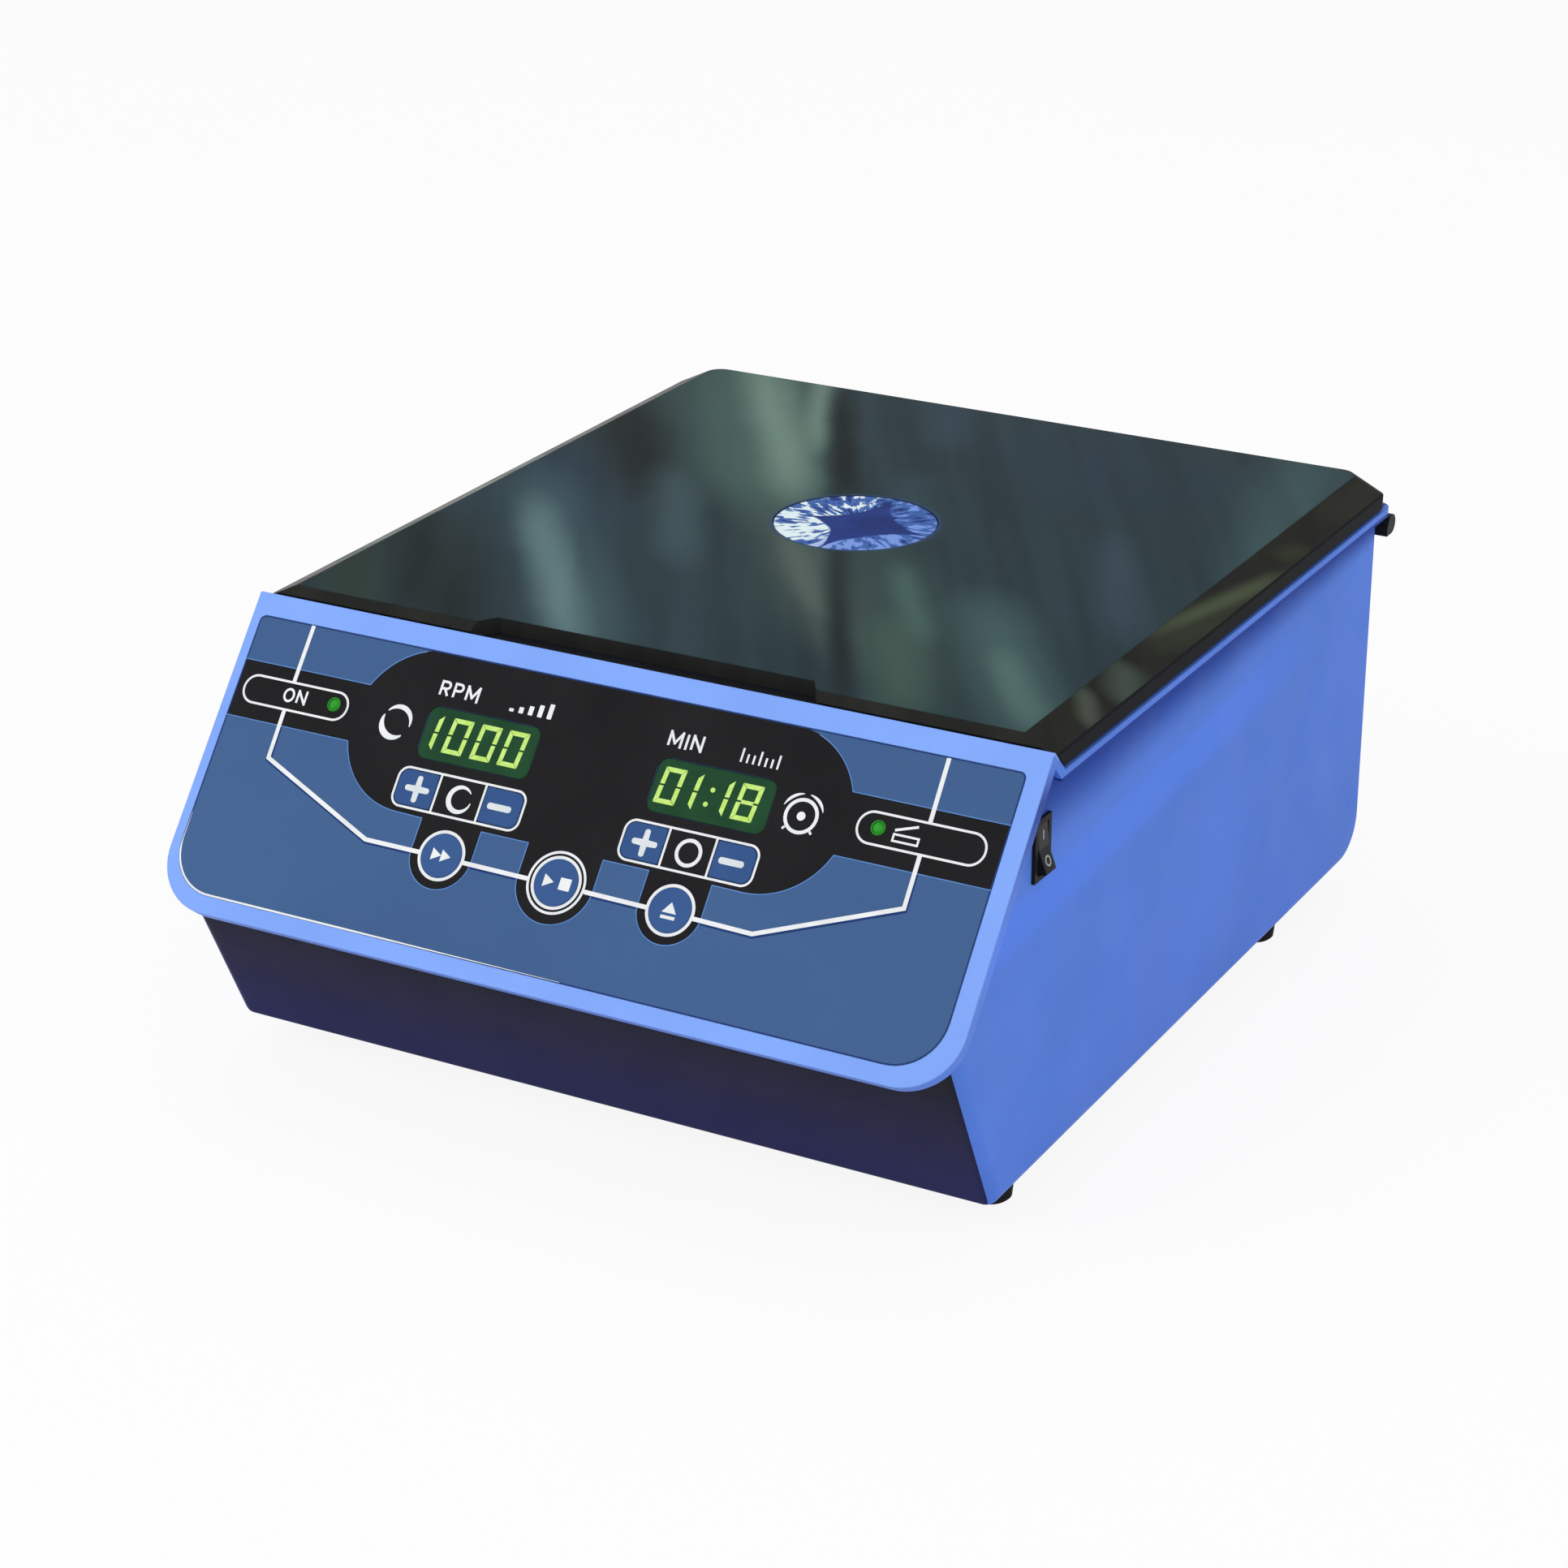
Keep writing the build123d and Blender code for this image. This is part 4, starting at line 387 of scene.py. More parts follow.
# soft bands of painted reflection on the lid: from, to (x, and y back from the panel's edge), width, colour,
# strength
lidReflections = [
    ((10, 390), (120, 250), 150, "#2B3A4C", 0.4), ((-190, 240), (-90, 90), 90, "#2A3B4B", 0.7),
    ((-215, 420), (-45, 170), 120, "#405855", 0.85), ((-60, 230), (60, 30), 110, "#324345", 0.75),
    ((-185, 440), (-15, 150), 78, "#4E6A5F", 0.85), ((-184, 430), (-18, 178), 42, "#779286", 0.75),
    ((-132, 410), (-58, 262), 24, "#7A9688", 0.65), ((-117, 400), (-6, 196), 26, "#161E1D", 0.95),
    ((-215, 340), (-82, 160), 62, "#1B2222", 1.0), ((-125, 240), (-30, 90), 38, "#41575D", 0.75),
    ((-190, 215), (15, -45), 62, "#435E64", 0.75), ((-160, 172), (-10, -30), 34, "#698689", 0.75),
    ((-215, 150), (-60, -45), 78, "#1B2322", 1.0), ((-200, 80), (-125, -20), 44, "#2A382E", 0.85),
    ((-60, 225), (95, 20), 58, "#4B5A54", 0.75), ((-30, 180), (50, 70), 22, "#5C6B63", 0.55),
    ((-20, 215), (115, -35), 22, "#181F1E", 0.95), ((10, 200), (150, -25), 70, "#3A4F4C", 0.8),
    ((36, 165), (104, 60), 24, "#4D6C66", 0.6), ((62, 110), (130, -15), 40, "#455D50", 0.7),
    ((78, 155), (200, -25), 58, "#486463", 0.75), ((120, 90), (185, 0), 26, "#5C7973", 0.55),
    ((100, 250), (175, 100), 34, "#3C4E5C", 0.6), ((132, 420), (205, 170), 66, "#3E575A", 0.85),
    ((-55, 400), (-5, 300), 40, "#384C5B", 0.5), ((-18, 280), (44, 175), 40, "#364B53", 0.65),
]
# painted reflections the same way for the side bevels, alike on both sides
bevelReflections = [
    ((173, 63), (191, 33), 17, "#4C544B", 0.9), ((175, 100), (193, 62), 30, "#46524A", 0.9),
    ((173, 112), (191, 256), 13, "#4C5643", 0.95), ((179, 108), (193, 206), 18, "#363A30", 0.9),
    ((181, 246), (188, 280), 16, "#363A2D", 0.8), ((182, 300), (184, 385), 30, "#33342D", 0.7),
]


def streakShare(tree, place, start, end, width, strength):
    # strength on the middle line from start to end, and 0 past the oval u to the 4 plus v squared = 1
    across, back = (start[0] + end[0]) / 2, (start[1] + end[1]) / 2 + edgeY
    turn = math.atan2(end[1] - start[1], end[0] - start[0])
    local = addNode(tree, "Mapping", {
        "Vector": place, "Location": (across * mm, back * mm, 0.0), "Rotation": (0.0, 0.0, turn),
        "Scale": (math.dist(start, end) / 2 * mm, width / 2 * mm, 100.0)}, vector_type="TEXTURE")[0]
    squares = addNode(tree, "VectorMath", [local, local], operation="MULTIPLY")[0]
    along, sideways = addNode(tree, "SeparateXYZ", [squares])[:2]
    total = addNode(tree, "Math", [productOf(tree, along, along), sideways], operation="ADD")[0]
    away = addNode(tree, "Math", [total], operation="SQRT")[0]
    return productOf(tree, addNode(tree, "MapRange", [away, 0.0, 1.0, 1.0, 0.0])[0], strength)


def noiseAlong(tree, place, size, drawn):
    # soft streaks of painted reflection this many mm wide, drawn out along the lid's slant
    turn = (0.0, 0.0, math.radians(lidLook["streakTurn"]))
    slanted = addNode(tree, "Mapping", {"Vector": place, "Rotation": turn}, vector_type="TEXTURE")[0]
    stretched = addNode(tree, "Mapping", {"Vector": slanted, "Scale": (drawn, 1.0, 1.0)})[0]
    return addNode(tree, "TexNoise", {"Vector": stretched, "Scale": perMetre(size), "Detail": 2.0})[0]


def wandering(tree, place, size, reach):
    # coordinates pushed about by noise, up to reach mm
    drift = addNode(tree, "TexNoise", {"Vector": place, "Scale": perMetre(size), "Detail": 2.0})["Color"]
    centred = addNode(tree, "VectorMath", [drift, (0.5, 0.5, 0.5)], operation="SUBTRACT")[0]
    push = addNode(tree, "VectorMath", {0: centred, "Scale": reach * 2 * mm}, operation="SCALE")[0]
    return addNode(tree, "VectorMath", [place, push], operation="ADD")[0]


def lidPaint(tree, place):
    # painted reflections: soft slanting bands on the top face, fainter ones on the side bevels; and plain dark
    # edges below, in painted shade
    loose = wandering(tree, place, *lidLook["wander"])
    tone = twoTones(tree, noiseAlong(tree, loose, lidLook["streak"], 0.05), lidLook["top"])
    for start, end, width, code, strength in lidReflections:
        tone = coats(tree, tone, (streakShare(tree, loose, start, end, width, strength), code))
    # broad painted reflections, light and dark
    broad = noiseAlong(tree, loose, lidLook["streak"] * 2, 0.07)
    light = addNode(tree, "MapRange", [broad, 0.45, 0.75, 0.0, lidLook["noiseShare"]])[0]
    dark = addNode(tree, "MapRange", [broad, 0.3, 0.48, lidLook["noiseShare"], 0.0])[0]

    # a painted glow: the window's blue shown in the plastic round it
    x, y, z = addNode(tree, "SeparateXYZ", [place])
    plan = addNode(tree, "CombineXYZ", [x, y])[0]
    away = addNode(tree, "VectorMath", [plan, (0.0, rotorY * mm, 0.0)], operation="DISTANCE")["Value"]
    glow = addNode(tree, "MapRange", [
        away, lidLook["glowFrom"] * mm, lidLook["glowTo"] * mm, lidLook["glowShare"], 0.0])[0]
    tone = coats(tree, tone, (light, lidLook["glint"]), (dark, lidLook["dusk"]), (glow, lidLook["glow"]))

    across = addNode(tree, "Math", [x], operation="ABSOLUTE")[0]
    mirrored = addNode(tree, "CombineXYZ", [across, y, 0.0])[0]
    side = twoTones(tree, noiseAlong(tree, mirrored, lidLook["sideStreak"], 0.2), lidLook["side"])
    behind = addNode(tree, "Math", [y, lidLook["bevelFront"] * mm], operation="GREATER_THAN")[0]
    for start, end, width, code, strength in bevelReflections:
        band = streakShare(tree, mirrored, start, end, width, strength)
        side = coats(tree, side, (productOf(tree, band, behind), code))
    # painted shade on the skirt below the bevels
    skirt = addNode(tree, "Math", [z, lidLook["bevelFoot"] * mm], operation="LESS_THAN")[0]
    onTop = addNode(tree, "Math", [z, lidLook["topLevel"] * mm], operation="GREATER_THAN")[0]
    return coats(tree, side, (skirt, lidLook["skirt"]), (onTop, tone))


finishes["smoked_plastic"] = moulded("smoked_polycarbonate", lidLook, lidPaint)

# window: cast acrylic, dyed blue and polished; it gives the eye a deep star with pale and white rays about it,
# which are painted reflections.
# shift is the star's place in mm, left and up how its points reach, point their sharpness; shares are what
# the rays, the broad patches and the place to the right and to the back add to the rays' brightness
windowLook = {
    "radius": 37.5, "deep": ("#1E3070", "#263C84"), "mid": "#4267AE", "pale": "#7C9BE6", "white": "#E6F6F8",
    "rim": "#35496B", "rimFrom": 36.5, "rays": 8.0, "patches": 2.2, "drawn": 14.0, "wander": (14.0, 2.2),
    "shift": (1.5, -1.0), "left": 0.68, "up": 0.3, "point": 0.62, "shares": (0.75, 0.35, -0.015, -0.04),
    "rough": 0.14, "specular": 0.006, "spread": 0.03, "ior": 1.49, "grain": 4.0, "depth": 0.003, "soften": 0.3,
}


def windowPaint(tree, place):
    # |x|^p + |y|^p below 1 is the deep star of four points, blunt to the left and broad at the back; outside it,
    # noise drawn out along the radius makes rays of painted reflection, white on the left and blue on the right
    moved = addNode(tree, "VectorMath", [place, (0.0, rotorY * mm, 0.0)], operation="SUBTRACT")[0]
    x, y = addNode(tree, "SeparateXYZ", [wandering(tree, moved, *windowLook["wander"])])[:2]
    reaches = []
    for part, shift in zip((x, y), windowLook["shift"]):
        shifted = addNode(tree, "Math", [part, shift * mm], operation="SUBTRACT")[0]
        reaches.append(addNode(tree, "Math", [shifted, windowLook["radius"] * mm], operation="DIVIDE")[0])
    sideways, endways = reaches
    toLeft = addNode(tree, "Math", [sideways, 0.0], operation="LESS_THAN")[0]
    blunt = productOf(tree, toLeft, 1 - windowLook["left"])
    reach = addNode(tree, "Math", [1.0, blunt], operation="SUBTRACT")[0]
    toBack = addNode(tree, "Math", [endways, 0.0], operation="MAXIMUM")[0]
    spread = addNode(tree, "Math", [1.0, productOf(tree, toBack, windowLook["up"])], operation="ADD")[0]
    reach = productOf(tree, reach, spread)
    sideways = addNode(tree, "Math", [sideways], operation="ABSOLUTE")[0]
    endways = addNode(tree, "Math", [endways], operation="ABSOLUTE")[0]
    sideways = addNode(tree, "Math", [sideways, reach], operation="DIVIDE")[0]
    powers = [addNode(tree, "Math", [value, windowLook["point"]], operation="POWER")[0]
              for value in (sideways, endways)]
    star = addNode(tree, "Math", powers, operation="ADD")[0]
    outside = addNode(tree, "MapRange", [star, 0.97, 1.04])[0]

    plan = addNode(tree, "CombineXYZ", [x, y])[0]
    away = addNode(tree, "VectorMath", [plan], operation="LENGTH")["Value"]
    heading = addNode(tree, "VectorMath", [plan], operation="NORMALIZE")[0]
    towardsX, towardsY = addNode(tree, "SeparateXYZ", [heading])[:2]
    ray = addNode(tree, "CombineXYZ", [towardsX, towardsY, productOf(tree, away, windowLook["drawn"])])[0]
    rays = addNode(tree, "TexNoise", {"Vector": ray, "Scale": windowLook["rays"], "Detail": 3.0})[0]
    broad = addNode(tree, "TexNoise", {"Vector": ray, "Scale": windowLook["patches"], "Detail": 2.0})[0]
    parts = [productOf(tree, *pair) for pair in zip((rays, broad, towardsX, towardsY), windowLook["shares"])]
    both = addNode(tree, "Math", parts[:2], operation="ADD")[0]
    corner = addNode(tree, "Math", parts[2:], operation="ADD")[0]
    bright = addNode(tree, "Math", [both, corner], operation="ADD")[0]

    tone = mottled(tree, place, 18.0, windowLook["deep"])
    leftward = addNode(tree, "MapRange", [towardsX, -0.45, 0.25, 1.0, 0.0])[0]
    tip = coats(tree, hexColour(windowLook["pale"]), (leftward, windowLook["white"]))
    # painted reflection: mid blue, then pale and white where the rays are brightest
    for low, high, colour in ((0.43, 0.50, windowLook["mid"]), (0.55, 0.60, tip)):
        above = addNode(tree, "MapRange", [bright, low, high])[0]
        tone = coats(tree, tone, (productOf(tree, outside, above), colour))

    plan = addNode(tree, "CombineXYZ", addNode(tree, "SeparateXYZ", [moved])[:2])[0]
    away = addNode(tree, "VectorMath", [plan], operation="LENGTH")["Value"]
    rim = addNode(tree, "MapRange", [away, windowLook["rimFrom"] * mm, windowLook["radius"] * mm])[0]
    return coats(tree, tone, (rim, windowLook["rim"]))


finishes["blue_acrylic"] = moulded("cast_acrylic_blue", windowLook, windowPaint)
print("lid and window finishes made")


# display filter: acrylic dyed green, so dark that only the lit digits show through it
finishes["display_green"] = moulded("cast_acrylic_green", {
    "tones": ("#1C422A", "#214C2F"), "mottle": 16.0, "rough": 0.2, "specular": 0.02, "spread": 0.03,
    "grain": 3.0, "depth": 0.002})
# lamp lens: moulded clear green with its lamp lit behind, a soft green that stays bright in shade
finishes["lamp_green"] = moulded("moulded_acrylic_green", {
    "tones": ("#247E20", "#2F922A"), "mottle": 3.0, "rough": 0.3, "specular": 0.05, "grain": 1.0, "depth": 0.003,
    "shader": {"Emission Color": hexColour("#2E9A26"), "Emission Strength": 0.25}})

# slides: float glass, cut and ground, which gives clear pale green with a white frosted end to write on
glassLook = {
    "tint": ("#E6F3EF", "#F0F8F6"), "frost": "#F2F3F3", "frostFrom": (165.0, 166.0),
    "rough": 0.06, "specular": 0.5, "spread": 0.03, "ior": 1.52, "grain": 6.0, "depth": 0.001,
    "shader": {"Transmission Weight": 0.85},
}


def slidePaint(tree, place):
    # frosted above the heights of frostFrom
    z = addNode(tree, "SeparateXYZ", [place])["Z"]
    low, high = [level * mm for level in glassLook["frostFrom"]]
    frost = addNode(tree, "MapRange", [z, low, high])[0]
    return coats(tree, mottled(tree, place, 30.0, glassLook["tint"]), (frost, glassLook["frost"]))


# control board: glass fibre under green solder resist, with the copper tracks showing through paler
boardLook = {
    "resist": ("#14512D", "#17603A"), "track": "#2C7C4A", "shade": "#0E3B22", "brick": 9.0, "patches": 5.0,
    "rough": 0.32, "specular": 0.4, "grain": 1.0, "depth": 0.01,
}


def boardPaint(tree, place):
    # tracks are the joints of a brick pattern laid flat on the slope, with darker clouds over them
    turn = (math.pi / 2 - panelSlope, 0.0, 0.0)
    across = addNode(tree, "Mapping", {"Vector": place, "Rotation": turn})[0]
    bricks = addNode(tree, "TexBrick", {
        "Vector": across, "Color1": hexColour(boardLook["resist"][0]), "Color2": hexColour(boardLook["resist"][1]),
        "Mortar": hexColour(boardLook["track"]), "Scale": perMetre(boardLook["brick"]), "Mortar Size": 0.04,
        "Brick Width": 0.9, "Row Height": 0.35})["Color"]
    size = perMetre(boardLook["patches"])
    patches = addNode(tree, "TexNoise", {"Vector": place, "Scale": size, "Detail": 3.0})[0]
    cloud = addNode(tree, "MapRange", [patches, 0.55, 0.7])[0]
    return coats(tree, bricks, (productOf(tree, cloud, 0.5), boardLook["shade"]))


finishes["slide_glass"] = moulded("float_glass", glassLook, slidePaint)
finishes["circuit_board"] = moulded("solder_resist_green", boardLook, boardPaint)

for name, piece in nodes.items():
    slot = piece.material_slots[0]
    finish = "black_steel" if name == "hinge_pins" else slot.material.name.split(".")[0]
    slot.material = finishes[finish]
print("finishes given to all nodes")


# outlines on the panel are u mm across and v mm down the slope from its top edge
def onPanel(points, lift):
    # origin at the crest's middle; v runs down the slope and lift stands off its face
    points = np.asarray(points, float)
    down = np.array([0.0, -math.cos(panelSlope), -math.sin(panelSlope)])
    out = np.array([0.0, -math.sin(panelSlope), math.cos(panelSlope)])
    place = np.array([0.0, edgeY, crestZ]) + points[:, :1] * [1.0, 0.0, 0.0] + points[:, 1:2] * down
    return (place + np.reshape(lift, (-1, 1)) * out) * mm


def arc(across, down, radius, first, last, count=25):
    # points on a circle, angles in degrees, clockwise as seen because v runs down
    turn = np.radians(np.linspace(first, last, count))
    return np.c_[across + radius * np.cos(turn), down + radius * np.sin(turn)]


def circle(across, down, radius, count):
    # the same for a whole circle, whose last point stops short of its first
    return arc(across, down, radius, 0, 360 - 360 / count, count)


def roundBox(left, top, right, bottom, radii, count=9):
    # a rectangle with an arc at each corner, from the top left clockwise; radii are one for all or four
    corners = [(left, top, 180), (right, top, 270), (right, bottom, 0), (left, bottom, 90)]
    runs = []
    for (across, down, first), radius in zip(corners, np.broadcast_to(radii, 4)):
        inwards = 1 if across == left else -1
        below = 1 if down == top else -1
        runs.append(arc(across + inwards * radius, down + below * radius, radius, first, first + 90, count))
    return np.vstack(runs)


def stroke(path, width, closed=False):
    # a line of this width: each point moves half the width to both sides along its mitre
    path = np.asarray(path, float)
    ahead = np.roll(path, -1, 0) - path
    behind = path - np.roll(path, 1, 0)
    if not closed:
        ahead[-1] = behind[-1]
        behind[0] = ahead[0]
    turnedA = np.c_[-ahead[:, 1], ahead[:, 0]] / np.linalg.norm(ahead, axis=1)[:, None]
    turnedB = np.c_[-behind[:, 1], behind[:, 0]] / np.linalg.norm(behind, axis=1)[:, None]
    mitre = (turnedA + turnedB) / (1 + np.sum(turnedA * turnedB, axis=1))[:, None]
    side = mitre * np.reshape(width, (-1, 1)) / 2
    if closed:
        loops = [path + side, path - side]
        return loops if abs(loopArea(loops[0])) > abs(loopArea(loops[1])) else loops[::-1]
    return [np.vstack([path + side, (path - side)[::-1]])]


def crescent(across, down, radius, first, last, thick):
    # an arc whose width swells from a point to thick and back to a point
    count, tip, bluntness = 33, 0.12, 0.8
    swell = np.sin(np.linspace(tip, math.pi - tip, count)) ** bluntness
    return stroke(arc(across, down, radius, first, last, count), thick * swell)


def loopArea(loop):
    # half the sum of cross products of neighbouring points, positive when anticlockwise as seen
    across, upward = loop[:, 0], -loop[:, 1]
    return 0.5 * np.sum(across * np.roll(upward, -1) - upward * np.roll(across, -1))


def addPiece(name, points, faces, material, body):
    # a mesh of its own at the origin, which rides on a body
    mesh = bpy.data.meshes.new(name)
    mesh.from_pydata(points.tolist(), [], faces)
    mesh.materials.append(material)
    piece = bpy.data.objects.new(name, mesh)
    scene.collection.objects.link(piece)
    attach(piece, body)


def printShape(name, shapes, low, high, material, body="housing", place=onPanel):
    # a closed prism for each outline with its holes: filled at both heights, and walled between them;
    # each one ends a micrometre above the one before, so that crossing strokes don't flicker
    step = 0.001
    points, faces, base = [], [], 0
    for index, loops in enumerate(shapes):
        loops = [np.asarray(loop, float) for loop in loops]
        loops = [loop if (loopArea(loop) > 0) == (k == 0) else loop[::-1] for k, loop in enumerate(loops)]
        flat = np.vstack(loops)
        count = len(flat)
        spread = [np.c_[loop, np.zeros(len(loop))].tolist() for loop in loops]
        fill = np.array(geometry.tessellate_polygon(spread))
        corners = flat[fill] * [1, -1]
        first, second = corners[:, 1] - corners[:, 0], corners[:, 2] - corners[:, 0]
        turned = first[:, 0] * second[:, 1] - first[:, 1] * second[:, 0] < 0
        fill[turned] = fill[turned][:, ::-1]
        here = np.arange(count)
        edges = np.cumsum([0] + [len(loop) for loop in loops])
        there = np.concatenate([np.roll(here[a:b], -1) for a, b in zip(edges[:-1], edges[1:])])
        walls = np.c_[here, there, there + count, here + count]
        points += [place(flat, low), place(flat, high + step * index)]
        faces += (fill[:, ::-1] + base).tolist() + (fill + count + base).tolist() + (walls + base).tolist()
        base += 2 * count
    addPiece(name, np.vstack(points), faces, material, body)


# capital letters as pen strokes on a box 1 wide and 1 high, v down; bowls and ovals are added to them
penStrokes = {
    "R": [[(0, 1), (0, 0), (0.62, 0)], [(0.62, 0.5), (0, 0.5)], [(0.45, 0.5), (0.95, 1)]],
    "P": [[(0, 1), (0, 0), (0.62, 0)], [(0.62, 0.5), (0, 0.5)]],
    "M": [[(0, 1), (0, 0)], [(0, 0), (0.5, 0.78)], [(0.5, 0.78), (1, 0)], [(1, 0), (1, 1)]],
    "I": [[(0, 0), (0, 1)]],
    "N": [[(0, 1), (0, 0)], [(0, 0), (1, 1)], [(1, 1), (1, 0)]],
    "O": [],
}
letterWidths = {"R": 0.66, "P": 0.62, "M": 0.92, "I": 0.0, "N": 0.74, "O": 0.86}
bowl = {"start": 0.62, "radius": 0.25, "count": 13}


def penWord(word, left, top, height, thick, gap):
    # each letter's strokes, with half circles for the bowls of R and P and an oval for O
    shapes, across = [], left
    for letter in word:
        width = letterWidths[letter] * height
        for path in penStrokes[letter]:
            scaled = np.array(path, float) * (width, height) + (across, top)
            if letter not in "RP":
                last = scaled[-1] - scaled[-2]
                scaled[-1] = scaled[-1] + last / np.linalg.norm(last) * thick / 2
            shapes.append(stroke(scaled, thick))
        if letter in "RP":
            radius = bowl["radius"] * height
            shapes.append(stroke(
                arc(across + bowl["start"] * width, top + radius, radius, -90, 90, bowl["count"]), thick))
        if letter == "O":
            oval = circle(0, 0, 1, 45) * (width / 2, height / 2) + (across + width / 2, top + height / 2)
            shapes.append(stroke(oval, thick, True))
        across += width + gap
    return shapes


# inks: screen-printed and cured, which gives flat even tones with a dull face and a crisp edge
inks = {
    "white": ("#E6E9EC", "#F1F3F5", 14.0, 0.5, 0.1),
    "black": ("#1E1D1F", "#222123", 40.0, 0.42, 0.02),
    "pale_grey": ("#D6DEE3", "#E0E6EA", 8.0, 0.5, 0.1),
    # navy is no ink on the real panel: it is painted shade, for the traces' shadows and the film's dark edge line
    "navy": ("#21396F", "#263F78", 14.0, 0.5, 0.02),
    "green": ("#2A8A26", "#339630", 3.0, 0.5, 0.02),
    "edge_blue": ("#5484C8", "#6292D4", 14.0, 0.5, 0.1),
}
for name, (first, second, mottle, rough, specular) in inks.items():
    inks[name] = moulded("screen_ink_" + name, {
        "tones": (first, second), "mottle": mottle, "rough": rough, "specular": specular,
        "grain": 0.5, "depth": 0.002})

# the film, and the black field on it with its arms and tabs, and what is cut out of it; all in mm
panelLook = {
    "film": (-185.5, 181.5), "filmBox": (-185.5, 10.5, 181.5, 136.0), "filmCorners": (3.0, 3.0, 22.0, 22.0),
    "blobLeft": (-88.0, 46.0), "blobRight": (78.5, 46.5), "blobRadius": 36.0, "blobTop": 10.75,
    "armLeft": (31.0, 57.0), "armRight": (32.5, 59.5), "tabRoots": (82.4, 82.3),
    "tabs": ((35.0, 64.5, 96.3), (-22.5, 13.5, 96.0), (-75.0, -45.5, 96.0)),
    "clear": 0.35, "padHalf": (9.2, 7.7), "padCorners": (4.0, 1.0),
    "windowHalf": (27.25, 11.5), "windowCorner": 5.0, "lampHole": 2.6,
}
# how high each print ends above the film: later inks stand on the ones before
layers = {"shadow": 0.015, "field": 0.03, "outline": 0.04, "edge": 0.05, "line": 0.06, "pill": 0.07, "ring": 0.08}
pads = {"speed_up": (-82.3, 70.7, -1), "speed_down": (-40.0, 70.7, 1),
        "time_up": (28.6, 71.5, -1), "time_down": (70.6, 71.5, 1)}
rounds = {"short_spin": (-60.0, 96.0, 9.6), "start_stop": (-4.0, 96.0, 10.1), "lid_open": (50.0, 96.3, 9.6)}
displays = {"speed": (-60.75, 45.5), "time": (51.55, 46.5)}
lamps = {"run": (-135.0, 42.8), "lid": (127.0, 44.7)}


def armCorner(centre, down, side):
    # where the blob's circle meets an arm's edge: angle of the point at this v
    turn = math.degrees(math.asin((down - centre[1]) / panelLook["blobRadius"]))
    return turn if side > 0 else 180 - turn


def blackField():
    # clockwise from the blob's top left: right end, right arm, tabs, left end, left arm
    left, right, radius = panelLook["blobLeft"], panelLook["blobRight"], panelLook["blobRadius"]
    filmLeft, filmRight = panelLook["film"]
    upper, lower = [armCorner(right, v, 1) for v in panelLook["armRight"]]
    upperL, lowerL = [armCorner(left, v, -1) for v in panelLook["armLeft"]]
    runs = [arc(*right, radius, -90, upper, 30), [(filmRight, v) for v in panelLook["armRight"]]]
    runs.append(arc(*right, radius, lower, 90, 20))
    for low, high, down in panelLook["tabs"]:
        runs.append([(high, panelLook["tabRoots"][0])])
        runs.append(arc((low + high) / 2, down, (high - low) / 2, 0, 180, 30))
        runs.append([(low, panelLook["tabRoots"][1])])
    runs.append(arc(*left, radius, 90, lowerL, 20))
    runs.append([(filmLeft, v) for v in reversed(panelLook["armLeft"])])
    runs.append(arc(*left, radius, upperL, 270, 30))
    outline = np.vstack(runs)
    outline[:, 1] = np.maximum(outline[:, 1], panelLook["blobTop"])
    return outline


def panelHoles(grow):
    # every opening of the film, a little larger all round
    holes = []
    outer, inner = [radius + grow for radius in panelLook["padCorners"]]
    for across, down, side in pads.values():
        reachX, reachY = [half + grow for half in panelLook["padHalf"]]
        radii = (outer, inner, inner, outer) if side < 0 else (inner, outer, outer, inner)
        holes.append(roundBox(across - reachX, down - reachY, across + reachX, down + reachY, radii))
    holes += [circle(across, down, radius + grow, 48) for across, down, radius in rounds.values()]
    for across, down in displays.values():
        reachX, reachY = [half + grow for half in panelLook["windowHalf"]]
        box = (across - reachX, down - reachY, across + reachX, down + reachY)
        holes.append(roundBox(*box, panelLook["windowCorner"]))
    return holes + [circle(across, down, panelLook["lampHole"] + grow, 24) for across, down in lamps.values()]


fieldOutline = blackField()
field = [fieldOutline] + panelHoles(panelLook["clear"])
printShape("panel_black_field", [field], 0.0, layers["field"], inks["black"])

def printWhite(name, shapes, layer="line"):
    # white ink over the black field, up to one of the layers
    printShape(name, shapes, layers["field"], layers[layer], inks["white"])


# line widths in mm; the shadow is moved right and down, and is wider than its trace by shadowMore
lineLook = {
    "trace": 1.9, "fine": 1.0, "shadow": (0.35, 0.49), "shadowMore": 0.9, "fieldEdge": 0.4,
    "rim": 0.45, "rimIn": 0.3, "glintIn": 0.4, "lampRim": (2.9, 0.55),
}

# thin pale line round the black field, left open along the film's own edges
ends = np.where(np.abs(fieldOutline[:, 0]) > panelLook["film"][1] - 0.1)[0]
runs = [fieldOutline[8:ends[0] + 1], fieldOutline[ends[1]:ends[2] + 1], fieldOutline[ends[3]:-8]]
edge = [stroke(run, lineLook["fieldEdge"]) for run in runs]
printShape("panel_field_edge", edge, layers["field"], layers["edge"], inks["edge_blue"])

